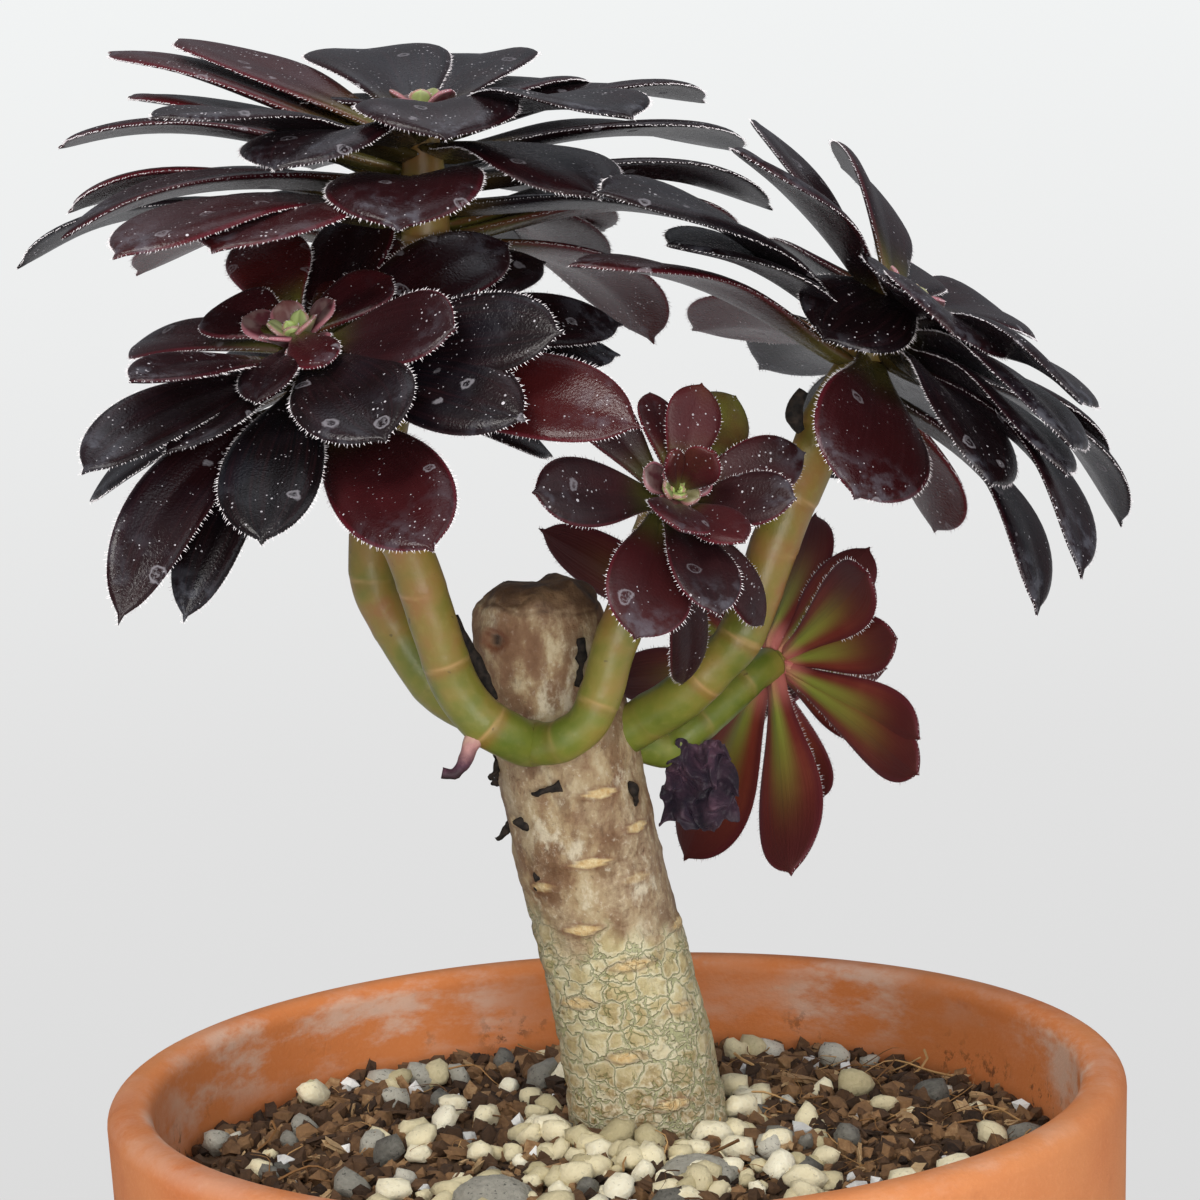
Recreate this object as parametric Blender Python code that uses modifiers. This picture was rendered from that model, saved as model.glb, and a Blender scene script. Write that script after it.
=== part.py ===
"""Potted succulent: a branched tree aeonium standing in a plain clay pot.

Metres, +Z up. The plant's own points are measured from the middle of the
soil surface, so the plant rises and sinks with the pot and its filling.
At the end the whole object is moved so that the middle of its box stands
over the origin and the pot's foot stands at height zero.
"""

import math
import random

import bmesh
import bpy
from mathutils import Vector

MM = 0.001
GAP = 0.3 * MM                    # air between two pieces that meet

# Pot
POT_DIAMETER = 180 * MM           # outside, across the rim
POT_HEIGHT = 152 * MM
WALL = 7 * MM
LIP_THICKNESS = 8 * MM
LIP_ROUND = 3 * MM
COLLAR_HEIGHT = 36 * MM
COLLAR_STEP = 3 * MM              # how far the collar stands proud
WALL_SLOPE = 0.24                 # how much the wall leans out as it rises
FLOOR = 9 * MM
FOOT_CHAMFER = 3 * MM
DRAIN_RADIUS = 10 * MM
POT_SIDES = 64

# Soil
SOIL_BELOW_RIM = 20 * MM          # where the soil meets the wall
SOIL_MOUND = 5 * MM               # how much higher it lies round the trunk
BRIDGE_HEIGHT = 6 * MM            # hollow that the soil leaves over the drain

# Trunk
TRUNK_RADIUS = 13 * MM
TRUNK_SIDES = 20
BURIED = 45 * MM

# Branches and leaves
BRANCH_RADIUS = 4 * MM
BRANCH_SIDES = 12
STEPS_PER_SPAN = 3                # of a trunk or branch, between two points
LEAF_THICKNESS = 2 * MM
YOUNG_THICKNESS = 1.4 * MM
STALK_SHARE = 0.28                # width of a leaf's foot over its widest
TIP_SHARE = 0.16                  # width of a leaf's blunt tip
WIDEST_AT = 0.68                  # where along a leaf it is widest
TIP_POWER = 2.2                   # how square the leaf's end is
CUP = 0.12                        # how far a leaf's edges stand up, of half its width
LEAF_STEPS = 7
YOUNG_STEPS = 5
YOUNG_WIDTH = 0.55                # a young leaf's width over its length
YOUNG_BEND = 12
YOUNG_LIFTS = (68, 34)            # from the first young leaf to the last
YOUNG_FEET = (0.93, 0.83)         # height of their feet over the crown's
GOLDEN_ANGLE = 137.5
CROWN_TAPER = ((0, 1.0), (0.4, 0.92), (0.75, 0.72), (0.93, 0.5), (1.0, 0.3))

POT_RADIUS = POT_DIAMETER / 2
SOIL_TOP = POT_HEIGHT - SOIL_BELOW_RIM + SOIL_MOUND

# Trunk: where its root end stands (mm), then its centre line from under the
# soil to the healed stub (mm from the soil's middle), each with the share of
# TRUNK_RADIUS there.
ROOT_END = ((12, 9), 0.70)
TRUNK_ROUTE = [
    ((9, 8, -18), 1.02),
    ((6, 8, 0), 1.08),
    ((2.5, 8, 25), 1.02),
    ((-1.5, 7, 43), 1.00),
    ((-5, 5, 62), 1.00),
    ((-6.5, 4, 73), 0.98),
    ((-9.5, 3, 84), 0.90),
    ((-10.5, 2, 96), 0.86),
    ((-10.7, 2, 102), 0.55),
]

# Each branch: its centre line from inside the trunk to its rosette's crown
# (mm from the soil's middle), its radius as a share of BRANCH_RADIUS, and
# the older branch that it starts beside.
BRANCHES = {
    "front_left": dict(
        share=1.0,
        route=[(-10, -2, 75), (-15, -15, 79), (-20.5, -18, 83), (-25.5, -20, 94),
               (-31, -23, 111), (-37.5, -25, 124), (-42.8, -24, 132), (-45.5, -26, 138.5)]),
    "top": dict(
        share=1.0,
        route=[(-16, 8, 76), (-23.5, 13, 78), (-29.5, 15, 82), (-36, 16, 92),
               (-39.8, 15, 101), (-40, 14, 110), (-37, 10, 126), (-31, 5.5, 147),
               (-27, 4, 162.5)]),
    "right": dict(
        share=1.05,
        route=[(3, 2, 74), (8.7, 0, 77.5), (14, -3, 81), (20.5, -5, 87), (25.5, -6, 93),
               (31.5, -6, 108), (37.5, -4, 120), (42, -1, 129), (47, 0, 136.5)]),
    "front_small": dict(
        share=0.8, beside="front_left",
        route=[(-8, -3, 76), (-6, -16, 79), (-3.5, -18, 85), (-1, -19, 93),
               (2.5, -19, 101), (7, -18, 109), (12, -26, 117)]),
    "rear_low": dict(
        share=0.8, beside="right",
        route=[(5, 6, 72.5), (11.5, 9, 70), (16.5, 11, 73), (23.5, 15, 78),
               (28, 18, 81.5), (31.5, 22, 83)]),
}

# Each rosette: crown axis, crown radius and height, how far the feet of the
# outer leaves stand from the axis, and the young leaves of its heart.
# Outer leaf: turn about the axis, lift of its chord, height of its foot
# (degrees, degrees, mm), length, width (mm), bend and twist (degrees).
ROSETTES = {
    "front_left": dict(
        axis=(-0.17, -0.48, 0.86), radius=4.0, height=11, foot=6.0,
        young=(5, 12, 24),
        leaves=[
            (140, -13, 7, 40, 17, 20, 0),
            (104, 9, 10, 34, 19, -10, 0),
            (-67, 7, 7, 38, 25, 30, 5),
            (46, -7, 6, 43, 19, 15, 30),
            (-121, 16, 6, 50, 17, 25, -15),
            (-94, 3, 2.5, 46, 21, 30, -10),
            (-42, 8, 4.5, 46, 20, 20, 15),
            (34, -21, 2, 58, 18, 20, 25),
            (-116, -2, -0.5, 58, 15, 60, -35),
            (-68, -4, -2.5, 52, 24, 20, 5),
            (-31, 0, 1, 58, 21, 25, 20),
        ]),
    "top": dict(
        axis=(0.01, -0.05, 1.0), radius=4.4, height=24, foot=6.0,
        young=(5, 14, 28),
        leaves=[
            (105, 16, 20, 50, 27, 25, 0),
            (-82, -4, 20, 38, 27, 45, 0),
            (41, 4, 18, 62, 20, 30, 0),
            (-117, -5, 17, 42, 26, 35, 0),
            (-50, -11, 15, 42, 25, 35, 0),
            (147, 17, 15, 68, 22, 15, 0),
            (-92, -6, 8, 44, 26, 50, 0),
            (30, -8, 9, 64, 24, 35, 0),
            (158, 0, 6, 66, 22, 40, 0),
            (-130, -2, 3, 66, 24, 35, -5),
            (160, -3, 0, 76, 18, 50, 0),
            (51, -20, -2, 62, 22, 55, 0),
        ]),
    "right": dict(
        axis=(0.58, -0.01, 0.81), radius=4.4, height=16, foot=6.0,
        young=(5, 14, 26),
        leaves=[
            (111, 19, 15, 50, 22, 35, 15),
            (-100, -20, 14.5, 28, 22, 30, 0),
            (131, 16, 12, 54, 16, 15, 0),
            (-56, 4, 9, 54, 24, 35, 0),
            (-138, -4, 5, 68, 22, 35, 0),
            (31, -3, 7, 66, 18, 50, 0),
            (85, 2, 6, 50, 22, 30, 0),
            (-64, -12, 6, 48, 21, 30, 0),
            (-38, -22, -1.5, 54, 17, 60, 0),
            (-149, -12, 0, 56, 21, 35, 10),
            (48, -21, 0, 46, 20, 25, 0),
            (-81, -27, 1.4, 42, 24, 35, 0),
        ]),
    "front_small": dict(
        axis=(0.31, -0.87, 0.38), radius=2.4, height=7, foot=3.5,
        young=(4, 9, 15),
        leaves=[
            (55, -16, 3, 24, 13, 10, 0),
            (-18, 54, 2.5, 22, 12, 10, 0),
            (-169, 28, 2.8, 28, 14, 20, 0),
            (-110, 23, 0.2, 28, 17, 25, 0),
        ]),
    "rear_low": dict(
        axis=(0.50, 0.86, -0.07), radius=2.8, height=6, foot=4.6,
        young=(4, 8, 14),
        leaves=[
            (-96, 48, 2, 34, 14, 20, 0),
            (-32, -27, 1, 30, 15, 25, 0),
            (30, -19, 1.2, 36, 14, 30, 0),
            (69, -32, -1.5, 40, 17, 15, 0),
            (126, 19, 0.5, 46, 19, 15, 0),
        ]),
}

# Stones on the soil: place on the soil (turn in degrees, share of the soil's
# radius), length, width and height in mm, and seed of the rough surface.
STONES = [
    (-122, 0.50, 15, 13, 9, 3),
    (-62, 0.36, 14, 10, 8, 8),
]
STONE_ROUGHNESS = 0.10

# The dry leaf that hangs under the lowest branch: middle and size in mm.
WITHERED_MIDDLE = (18, 8, 58)
WITHERED_SIZE = (13, 7, 15)
WITHERED_ROUGHNESS = 0.16
WITHERED_SEED = 5

COLOURS = {
    "terracotta": ((0.58, 0.20, 0.06), 0.85),
    "soil": ((0.05, 0.03, 0.02), 0.95),
    "bark": ((0.24, 0.17, 0.11), 0.80),
    "green_stem": ((0.20, 0.19, 0.04), 0.55),
    "dark_leaf": ((0.035, 0.010, 0.014), 0.40),
    "young_leaf": ((0.16, 0.09, 0.04), 0.45),
    "withered": ((0.03, 0.015, 0.03), 0.70),
    "stone": ((0.35, 0.34, 0.30), 0.90),
}


# ---------------------------------------------------------------- helpers

def clear_scene():
    """Remove every object, so that the script can be run again."""
    for obj in list(bpy.data.objects):
        bpy.data.objects.remove(obj, do_unlink=True)


def new_collection(name):
    """Make a collection under the scene's own."""
    collection = bpy.data.collections.new(name)
    bpy.context.scene.collection.children.link(collection)
    return collection


def material(name):
    """Return the named material, made the first time it is asked for."""
    found = bpy.data.materials.get(name)
    if found:
        return found
    colour, roughness = COLOURS[name]
    made = bpy.data.materials.new(name)
    made.use_nodes = True
    shader = made.node_tree.nodes["Principled BSDF"]
    shader.inputs["Base Color"].default_value = (*colour, 1.0)
    shader.inputs["Roughness"].default_value = roughness
    return made


def place(obj, collection, material_name):
    """Put a finished object in its collection with its material."""
    for owner in list(obj.users_collection):
        owner.objects.unlink(obj)
    collection.objects.link(obj)
    obj.data.materials.clear()
    obj.data.materials.append(material(material_name))
    return obj


def make_cutter(obj, cutters):
    """Turn an object into a cutter that is not part of the model."""
    for owner in list(obj.users_collection):
        owner.objects.unlink(obj)
    cutters.objects.link(obj)
    obj.hide_render = True
    obj.display_type = 'WIRE'
    return obj


def cut(piece, cutter):
    """Cut the cutter's shape out of the piece."""
    boolean = piece.modifiers.new("clearance to " + cutter.name, 'BOOLEAN')
    boolean.operation = 'DIFFERENCE'
    boolean.solver = 'EXACT'
    boolean.object = cutter


def smooth(obj, degrees):
    """Shade an object smooth, keeping the edges that turn sharply."""
    obj.data.shade_smooth()
    obj.data.set_sharp_from_angle(angle=math.radians(degrees))


def turned(name, profile, closed):
    """Turn a profile of (radius, height) points about the Z axis."""
    count = len(profile)
    edges = [(i, i + 1) for i in range(count - 1)]
    if closed:
        edges.append((count - 1, 0))
    mesh = bpy.data.meshes.new(name)
    mesh.from_pydata([(r, 0.0, z) for r, z in profile], edges, [])
    obj = bpy.data.objects.new(name, mesh)
    screw = obj.modifiers.new("turn", 'SCREW')
    screw.steps = POT_SIDES
    screw.render_steps = POT_SIDES
    screw.use_merge_vertices = True
    screw.merge_threshold = 0.0001
    screw.use_smooth_shade = True
    return obj


def curve_through(points):
    """Read a smooth curve through (position, radius) points."""
    ends = [points[0]] + points + [points[-1]]
    out = []
    for i in range(1, len(ends) - 2):
        p0, p1, p2, p3 = (Vector((*ends[k][0], ends[k][1])) for k in range(i - 1, i + 3))
        for step in range(STEPS_PER_SPAN):
            t = step / STEPS_PER_SPAN
            q = 0.5 * ((2 * p1) + (p2 - p0) * t + (2 * p0 - 5 * p1 + 4 * p2 - p3) * t * t
                       + (3 * p1 - p0 - 3 * p2 + p3) * t * t * t)
            out.append((q.xyz, q.w))
    last = points[-1]
    out.append((Vector(last[0]), last[1]))
    return out


def tube(name, samples, sides):
    """Make a closed tube mesh along (position, radius) samples."""
    data = bpy.data.curves.new(name, 'CURVE')
    data.dimensions = '3D'
    data.bevel_depth = 1.0
    data.bevel_resolution = sides // 2 - 2
    data.use_fill_caps = True
    spline = data.splines.new('POLY')
    spline.points.add(len(samples) - 1)
    for point, (position, radius) in zip(spline.points, samples):
        point.co = (*position, 1.0)
        point.radius = radius
    curve = bpy.data.objects.new(name + "_line", data)
    bpy.context.scene.collection.objects.link(curve)
    graph = bpy.context.evaluated_depsgraph_get()
    mesh = bpy.data.meshes.new_from_object(curve.evaluated_get(graph))
    mesh.name = name
    obj = bpy.data.objects.new(name, mesh)
    obj.matrix_world = curve.matrix_world
    bpy.data.objects.remove(curve, do_unlink=True)
    weld(mesh)
    return obj


def weld(mesh):
    """Join the points of a mesh that lie on each other."""
    work = bmesh.new()
    work.from_mesh(mesh)
    bmesh.ops.remove_doubles(work, verts=work.verts, dist=0.01 * MM)
    bmesh.ops.recalc_face_normals(work, faces=work.faces)
    work.to_mesh(mesh)
    work.free()


def grown(samples, extra):
    """The same samples, wider and longer all round, for a clearance cutter."""
    wider = [(position, radius + extra) for position, radius in samples]
    for end, inner in ((0, 1), (-1, -2)):
        position, radius = wider[end]
        outward = (position - wider[inner][0]).normalized()
        wider[end] = (position + outward * extra, radius)
    return wider


def ragged_ball(name, middle, size, roughness, seed, extra=0.0):
    """A rough lump of the given size, wider by extra on every side."""
    draw = random.Random(seed)
    work = bmesh.new()
    bmesh.ops.create_icosphere(work, subdivisions=2, radius=0.5)
    for vert in work.verts:
        vert.co *= 1.0 + roughness * draw.uniform(-1.0, 1.0)
        vert.co = Vector([vert.co[k] * (size[k] + 2 * extra) for k in range(3)])
    mesh = bpy.data.meshes.new(name)
    work.to_mesh(mesh)
    work.free()
    obj = bpy.data.objects.new(name, mesh)
    obj.location = middle
    return obj


# -------------------------------------------------------------------- pot

def wall_radius(height):
    """Inner radius of the pot's wall at a height."""
    rim_inner = POT_RADIUS - LIP_THICKNESS
    below = POT_HEIGHT - height
    if below <= COLLAR_HEIGHT:
        return rim_inner - COLLAR_STEP * below / COLLAR_HEIGHT
    return rim_inner - COLLAR_STEP - WALL_SLOPE * (below - COLLAR_HEIGHT)


def pot_profile():
    """Closed section of the pot, down the outside and up the inside."""
    top = POT_HEIGHT
    collar_low = top - COLLAR_HEIGHT
    under_collar = wall_radius(collar_low) + WALL
    floor_corner = FLOOR + WALL
    foot = wall_radius(floor_corner) + WALL
    lip_outer = [
        (POT_RADIUS - LIP_ROUND * (1 - math.sin(a)), top - LIP_ROUND * (1 - math.cos(a)))
        for a in (math.radians(d) for d in (0, 30, 60, 90))
    ]
    inner_rim = POT_RADIUS - LIP_THICKNESS
    lip_inner = [
        (inner_rim + LIP_ROUND * (1 - math.cos(a)), top - LIP_ROUND * (1 - math.sin(a)))
        for a in (math.radians(d) for d in (0, 30, 60, 90))
    ]
    return lip_outer + [
        (POT_RADIUS - COLLAR_STEP / 3, collar_low),
        (under_collar, collar_low - COLLAR_STEP / 2),
        (foot, FOOT_CHAMFER),
        (foot - FOOT_CHAMFER, 0.0),
        (DRAIN_RADIUS, 0.0),
        (DRAIN_RADIUS, FLOOR),
        (wall_radius(floor_corner) - WALL, FLOOR),
        (wall_radius(floor_corner), floor_corner),
        (wall_radius(collar_low), collar_low),
    ] + lip_inner


def build_pot(parts):
    """The clay pot, with a collar, a foot and a drain hole."""
    pot = turned("pot", pot_profile(), closed=True)
    place(pot, parts, "terracotta")
    return pot


# ------------------------------------------------------------------- soil

def soil_radius():
    """How far the soil's surface reaches from the pot's axis."""
    return wall_radius(POT_HEIGHT - SOIL_BELOW_RIM) - GAP


def soil_height(radius):
    """Height of the soil's surface at a distance from the pot's axis."""
    share = min(radius / soil_radius(), 1.0)
    return SOIL_TOP - SOIL_MOUND * share * share


def build_soil(parts, cutters, trunk_samples, stones):
    """The soil, with a pocket for the trunk and a dent for each stone."""
    corner = FLOOR + WALL
    collar_low = POT_HEIGHT - COLLAR_HEIGHT
    surface = [(share * soil_radius(), soil_height(share * soil_radius()))
               for share in (0.0, 0.25, 0.5, 0.75, 1.0)]
    profile = surface + [
        (wall_radius(collar_low) - GAP, collar_low),
        (wall_radius(corner) - GAP, corner),
        (wall_radius(corner) - WALL - GAP, FLOOR + GAP),
        (DRAIN_RADIUS + 2 * GAP, FLOOR + GAP),
        (DRAIN_RADIUS, FLOOR + BRIDGE_HEIGHT),
        (0.0, FLOOR + BRIDGE_HEIGHT),
    ]
    soil = turned("soil", profile, closed=False)
    place(soil, parts, "soil")
    cut(soil, make_cutter(tube("trunk_pocket", grown(trunk_samples, GAP), TRUNK_SIDES), cutters))
    for number, (middle, size, seed) in enumerate(stones, start=1):
        dent = ragged_ball("stone_dent_%d" % number, middle, size, STONE_ROUGHNESS, seed, GAP)
        cut(soil, make_cutter(dent, cutters))
    return soil


def stone_places():
    """Middle, size and seed of each stone, half sunk into the soil."""
    places = []
    for turn, share, length, width, height, seed in STONES:
        angle = math.radians(turn)
        radius = share * soil_radius()
        middle = (radius * math.cos(angle), radius * math.sin(angle),
                  soil_height(radius) + height * MM / 4)
        places.append((middle, (length * MM, width * MM, height * MM), seed))
    return places


# ------------------------------------------------------------------ plant

def plant_point(x, y, z):
    """A point given in mm from the middle of the soil's surface."""
    return Vector((x * MM, y * MM, z * MM + SOIL_TOP))


def trunk_route():
    """Smooth centre line of the trunk with its radii."""
    (x, y), share = ROOT_END
    points = [(plant_point(x, y, -BURIED / MM), share * TRUNK_RADIUS)]
    points += [(plant_point(*place), share * TRUNK_RADIUS) for place, share in TRUNK_ROUTE]
    return curve_through(points)


def branch_route(name):
    """Smooth centre line of a branch, which ends along its rosette's axis."""
    row = BRANCHES[name]
    radius = row["share"] * BRANCH_RADIUS
    axis = Vector(ROSETTES[name]["axis"]).normalized()
    crown = plant_point(*row["route"][-1])
    points = [(plant_point(*p), radius) for p in row["route"][:-1]]
    points.append((crown - axis * BRANCH_RADIUS, radius))
    return curve_through(points) + [(crown, radius)]


def build_branches(parts, cutters, trunk_clearance):
    """Each branch, cut off where it leaves the trunk or an older branch."""
    for name, row in BRANCHES.items():
        branch = tube(name + "_branch", branch_route(name), BRANCH_SIDES)
        place(branch, parts, "green_stem")
        cut(branch, trunk_clearance)
        beside = row.get("beside")
        if beside:
            older = tube(beside + "_clearance", grown(branch_route(beside), GAP), BRANCH_SIDES)
            cut(branch, make_cutter(older, cutters))
        smooth(branch, 50)


class Crown:
    """Where a rosette stands: its crown, axis and two directions across."""

    def __init__(self, name):
        row = ROSETTES[name]
        self.axis = Vector(row["axis"]).normalized()
        self.base = plant_point(*BRANCHES[name]["route"][-1])
        across = Vector((1.0, 0.0, 0.0))
        self.right = (across - self.axis * across.dot(self.axis)).normalized()
        self.ahead = self.axis.cross(self.right)

    def outward(self, turn):
        """Direction away from the axis at a turn in degrees."""
        angle = math.radians(turn)
        return self.right * math.cos(angle) + self.ahead * math.sin(angle)


def between(first, last, share):
    """The value a share of the way from the first to the last."""
    return first + (last - first) * share


def half_width(share):
    """Half a leaf's width over its full width, along its length."""
    if share < WIDEST_AT:
        t = share / WIDEST_AT
        return 0.5 * (STALK_SHARE + (1 - STALK_SHARE) * t * t * (3 - 2 * t))
    t = (share - WIDEST_AT) / (1 - WIDEST_AT)
    return 0.5 * (TIP_SHARE + (1 - TIP_SHARE) * math.sqrt(max(0.0, 1 - t ** TIP_POWER)))


def leaf(name, crown, foot, row, thickness, steps):
    """A leaf: a grid bent along an arc, narrow at its foot, cupped across."""
    turn, lift, height, length, width, bend, twist = row
    out = crown.outward(turn)
    side = crown.axis.cross(out)
    lift_angle = math.radians(lift)
    chord = out * math.cos(lift_angle) + crown.axis * math.sin(lift_angle)
    above = crown.axis * math.cos(lift_angle) - out * math.sin(lift_angle)
    twist_angle = math.radians(twist)
    across = side * math.cos(twist_angle) + above * math.sin(twist_angle)
    raised = above * math.cos(twist_angle) - side * math.sin(twist_angle)
    arc = math.radians(bend if abs(bend) > 1 else 1)
    start = crown.base + crown.axis * height * MM + out * foot * MM
    bpy.ops.mesh.primitive_grid_add(x_subdivisions=steps, y_subdivisions=2, size=1.0)
    obj = bpy.context.object
    obj.name = name
    obj.data.name = name
    for vert in obj.data.vertices:
        share = vert.co.x + 0.5
        edge = 2 * vert.co.y
        along = (math.sin(arc * (share - 0.5)) + math.sin(arc / 2)) / (2 * math.sin(arc / 2))
        rise = (math.cos(arc * (share - 0.5)) - math.cos(arc / 2)) / (2 * math.sin(arc / 2))
        reach = half_width(share) * width * MM
        vert.co = (start + chord * along * length * MM + above * rise * length * MM
                   + across * edge * reach + raised * edge * edge * CUP * reach)
    solid = obj.modifiers.new("thickness", 'SOLIDIFY')
    solid.thickness = thickness
    solid.offset = 0.0
    obj.data.shade_smooth()
    return obj


def build_heart(name, parts, cutters):
    """The crown of a rosette with its young leaves, grown as one piece."""
    row = ROSETTES[name]
    crown = Crown(name)
    radius = row["radius"] * MM
    height = row["height"] * MM
    samples = [(crown.base + crown.axis * (GAP + (height - GAP) * t), radius * s)
               for t, s in CROWN_TAPER]
    heart = tube(name + "_heart", samples, BRANCH_SIDES)
    place(heart, parts, "young_leaf")
    group = bpy.data.collections.new(name + "_young_leaves")
    cutters.children.link(group)
    count, shortest, longest = row["young"]
    for number in range(count):
        share = number / (count - 1)
        length = between(shortest, longest, share)
        young = (number * GOLDEN_ANGLE, between(*YOUNG_LIFTS, share),
                 row["height"] * between(*YOUNG_FEET, share),
                 length, YOUNG_WIDTH * length, YOUNG_BEND, 0)
        piece = leaf("%s_young_leaf_%d" % (name, number + 1), crown, 0.0, young,
                     YOUNG_THICKNESS, YOUNG_STEPS)
        for owner in list(piece.users_collection):
            owner.objects.unlink(piece)
        group.objects.link(piece)
        piece.hide_render = True
        piece.display_type = 'WIRE'
    union = heart.modifiers.new("young leaves", 'BOOLEAN')
    union.operation = 'UNION'
    union.solver = 'EXACT'
    union.operand_type = 'COLLECTION'
    union.collection = group
    smooth(heart, 40)


def build_plant(parts, cutters, trunk_samples):
    """Trunk, branches, hearts, outer leaves and the dry leaf."""
    trunk = tube("trunk", trunk_samples, TRUNK_SIDES)
    place(trunk, parts, "bark")
    smooth(trunk, 50)
    trunk_clearance = make_cutter(
        tube("trunk_clearance", grown(trunk_samples, GAP), TRUNK_SIDES), cutters)
    build_branches(parts, cutters, trunk_clearance)
    build_withered_leaf(parts, trunk_clearance)
    for name, row in ROSETTES.items():
        build_heart(name, parts, cutters)
        crown = Crown(name)
        for number, leaf_row in enumerate(row["leaves"], start=1):
            piece = leaf("%s_leaf_%02d" % (name, number), crown, row["foot"], leaf_row,
                         LEAF_THICKNESS, LEAF_STEPS)
            place(piece, parts, "dark_leaf")


def build_withered_leaf(parts, trunk_clearance):
    """The dry leaf that still hangs under the lowest branch, clear of the trunk."""
    size = tuple(s * MM for s in WITHERED_SIZE)
    piece = ragged_ball("withered_leaf", plant_point(*WITHERED_MIDDLE), size,
                        WITHERED_ROUGHNESS, WITHERED_SEED)
    place(piece, parts, "withered")
    cut(piece, trunk_clearance)


def stand_over_origin(parts, cutters):
    """Move everything so that the middle of the box is over the origin."""
    graph = bpy.context.evaluated_depsgraph_get()
    low = Vector((math.inf, math.inf, math.inf))
    high = -low
    for obj in parts.objects:
        seen = obj.evaluated_get(graph)
        for vert in seen.data.vertices:
            spot = seen.matrix_world @ vert.co
            low = Vector(map(min, low, spot))
            high = Vector(map(max, high, spot))
    shift = Vector((-(low.x + high.x) / 2, -(low.y + high.y) / 2, -low.z))
    for obj in list(parts.all_objects) + list(cutters.all_objects):
        obj.location += shift


def main():
    """Build the whole object."""
    clear_scene()
    parts = new_collection("potted_succulent")
    cutters = new_collection("cutters")
    trunk_samples = trunk_route()
    stones = stone_places()
    build_pot(parts)
    build_soil(parts, cutters, trunk_samples, stones)
    for number, (middle, size, seed) in enumerate(stones, start=1):
        stone = ragged_ball("large_stone_%d" % number, middle, size, STONE_ROUGHNESS, seed)
        place(stone, parts, "stone")
    build_plant(parts, cutters, trunk_samples)
    bpy.context.view_layer.update()
    stand_over_origin(parts, cutters)
    bpy.context.view_layer.update()


main()
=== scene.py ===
"""A potted dark rosette succulent: its looks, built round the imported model."""

import math
import random

import bpy
import numpy as np
from bpy.props import FloatProperty, FloatVectorProperty, IntProperty, PointerProperty
from mathutils import Matrix, Vector, noise


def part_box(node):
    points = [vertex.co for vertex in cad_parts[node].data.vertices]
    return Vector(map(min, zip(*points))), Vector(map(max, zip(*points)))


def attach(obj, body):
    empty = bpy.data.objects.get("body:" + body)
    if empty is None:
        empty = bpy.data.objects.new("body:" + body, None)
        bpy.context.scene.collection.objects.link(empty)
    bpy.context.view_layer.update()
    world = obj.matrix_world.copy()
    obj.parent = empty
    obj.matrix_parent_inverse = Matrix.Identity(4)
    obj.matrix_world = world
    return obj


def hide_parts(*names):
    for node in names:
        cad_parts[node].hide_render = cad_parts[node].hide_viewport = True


bl_info = {
    "name": "Potted Rosette Succulent",
    "version": (1, 0, 0),
    "blender": (4, 5, 0),
    "location": "View3D > Sidebar > Succulent",
    "description": "Builds a dark rosette succulent, its clay pot and its soil",
    "category": "Add Mesh",
}

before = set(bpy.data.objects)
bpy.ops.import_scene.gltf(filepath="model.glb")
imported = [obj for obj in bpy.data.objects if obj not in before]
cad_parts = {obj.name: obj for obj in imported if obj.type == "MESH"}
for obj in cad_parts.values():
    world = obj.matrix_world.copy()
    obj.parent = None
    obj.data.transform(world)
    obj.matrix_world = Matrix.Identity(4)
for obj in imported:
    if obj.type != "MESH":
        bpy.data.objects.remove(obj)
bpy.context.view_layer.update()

MM = 0.001
BODY = "root"

# ------------------------------------------------------- places and sizes

POT_LOW, POT_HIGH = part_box("pot")
SOIL_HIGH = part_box("soil")[1]
POT_RADIUS = (POT_HIGH.x - POT_LOW.x) / 2
POT_MIDDLE = Vector(((POT_LOW.x + POT_HIGH.x) / 2, (POT_LOW.y + POT_HIGH.y) / 2, 0))
SOIL_MIDDLE = Vector((POT_MIDDLE.x, POT_MIDDLE.y, POT_HIGH.z - 15 * MM))

# Pot wall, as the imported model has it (mm).
LIP_THICKNESS = 8
LIP_ROUND = 3.6
COLLAR_HEIGHT = 36
COLLAR_STEP = 3
WALL = 7
WALL_SLOPE = 0.24
FLOOR = 9
FOOT_CHAMFER = 3
DRAIN_RADIUS = 10
SOIL_BELOW_RIM = 20
SOIL_MOUND = 5

TRUNK_RADIUS = 13
BRANCH_RADIUS = 4
GOLDEN_ANGLE = 137.5

# Trunk: centre line in mm from the soil's middle, and the share of
# TRUNK_RADIUS there, from under the soil to the healed stub.
TRUNK_ROUTE = [
    ((10, 8.5, -30), 0.90), ((9, 8, -18), 1.02), ((6, 8, 0), 1.08), ((2.5, 8, 25), 1.02),
    ((-1.5, 7, 43), 1.00), ((-5, 5, 62), 1.00), ((-6.5, 4, 73), 0.98), ((-9.5, 3, 84), 0.92),
    ((-10.5, 2, 95), 0.90), ((-10.7, 2, 99.5), 0.80), ((-10.8, 2, 101.8), 0.52),
    ((-10.8, 2, 102.4), 0.10),
]

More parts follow.
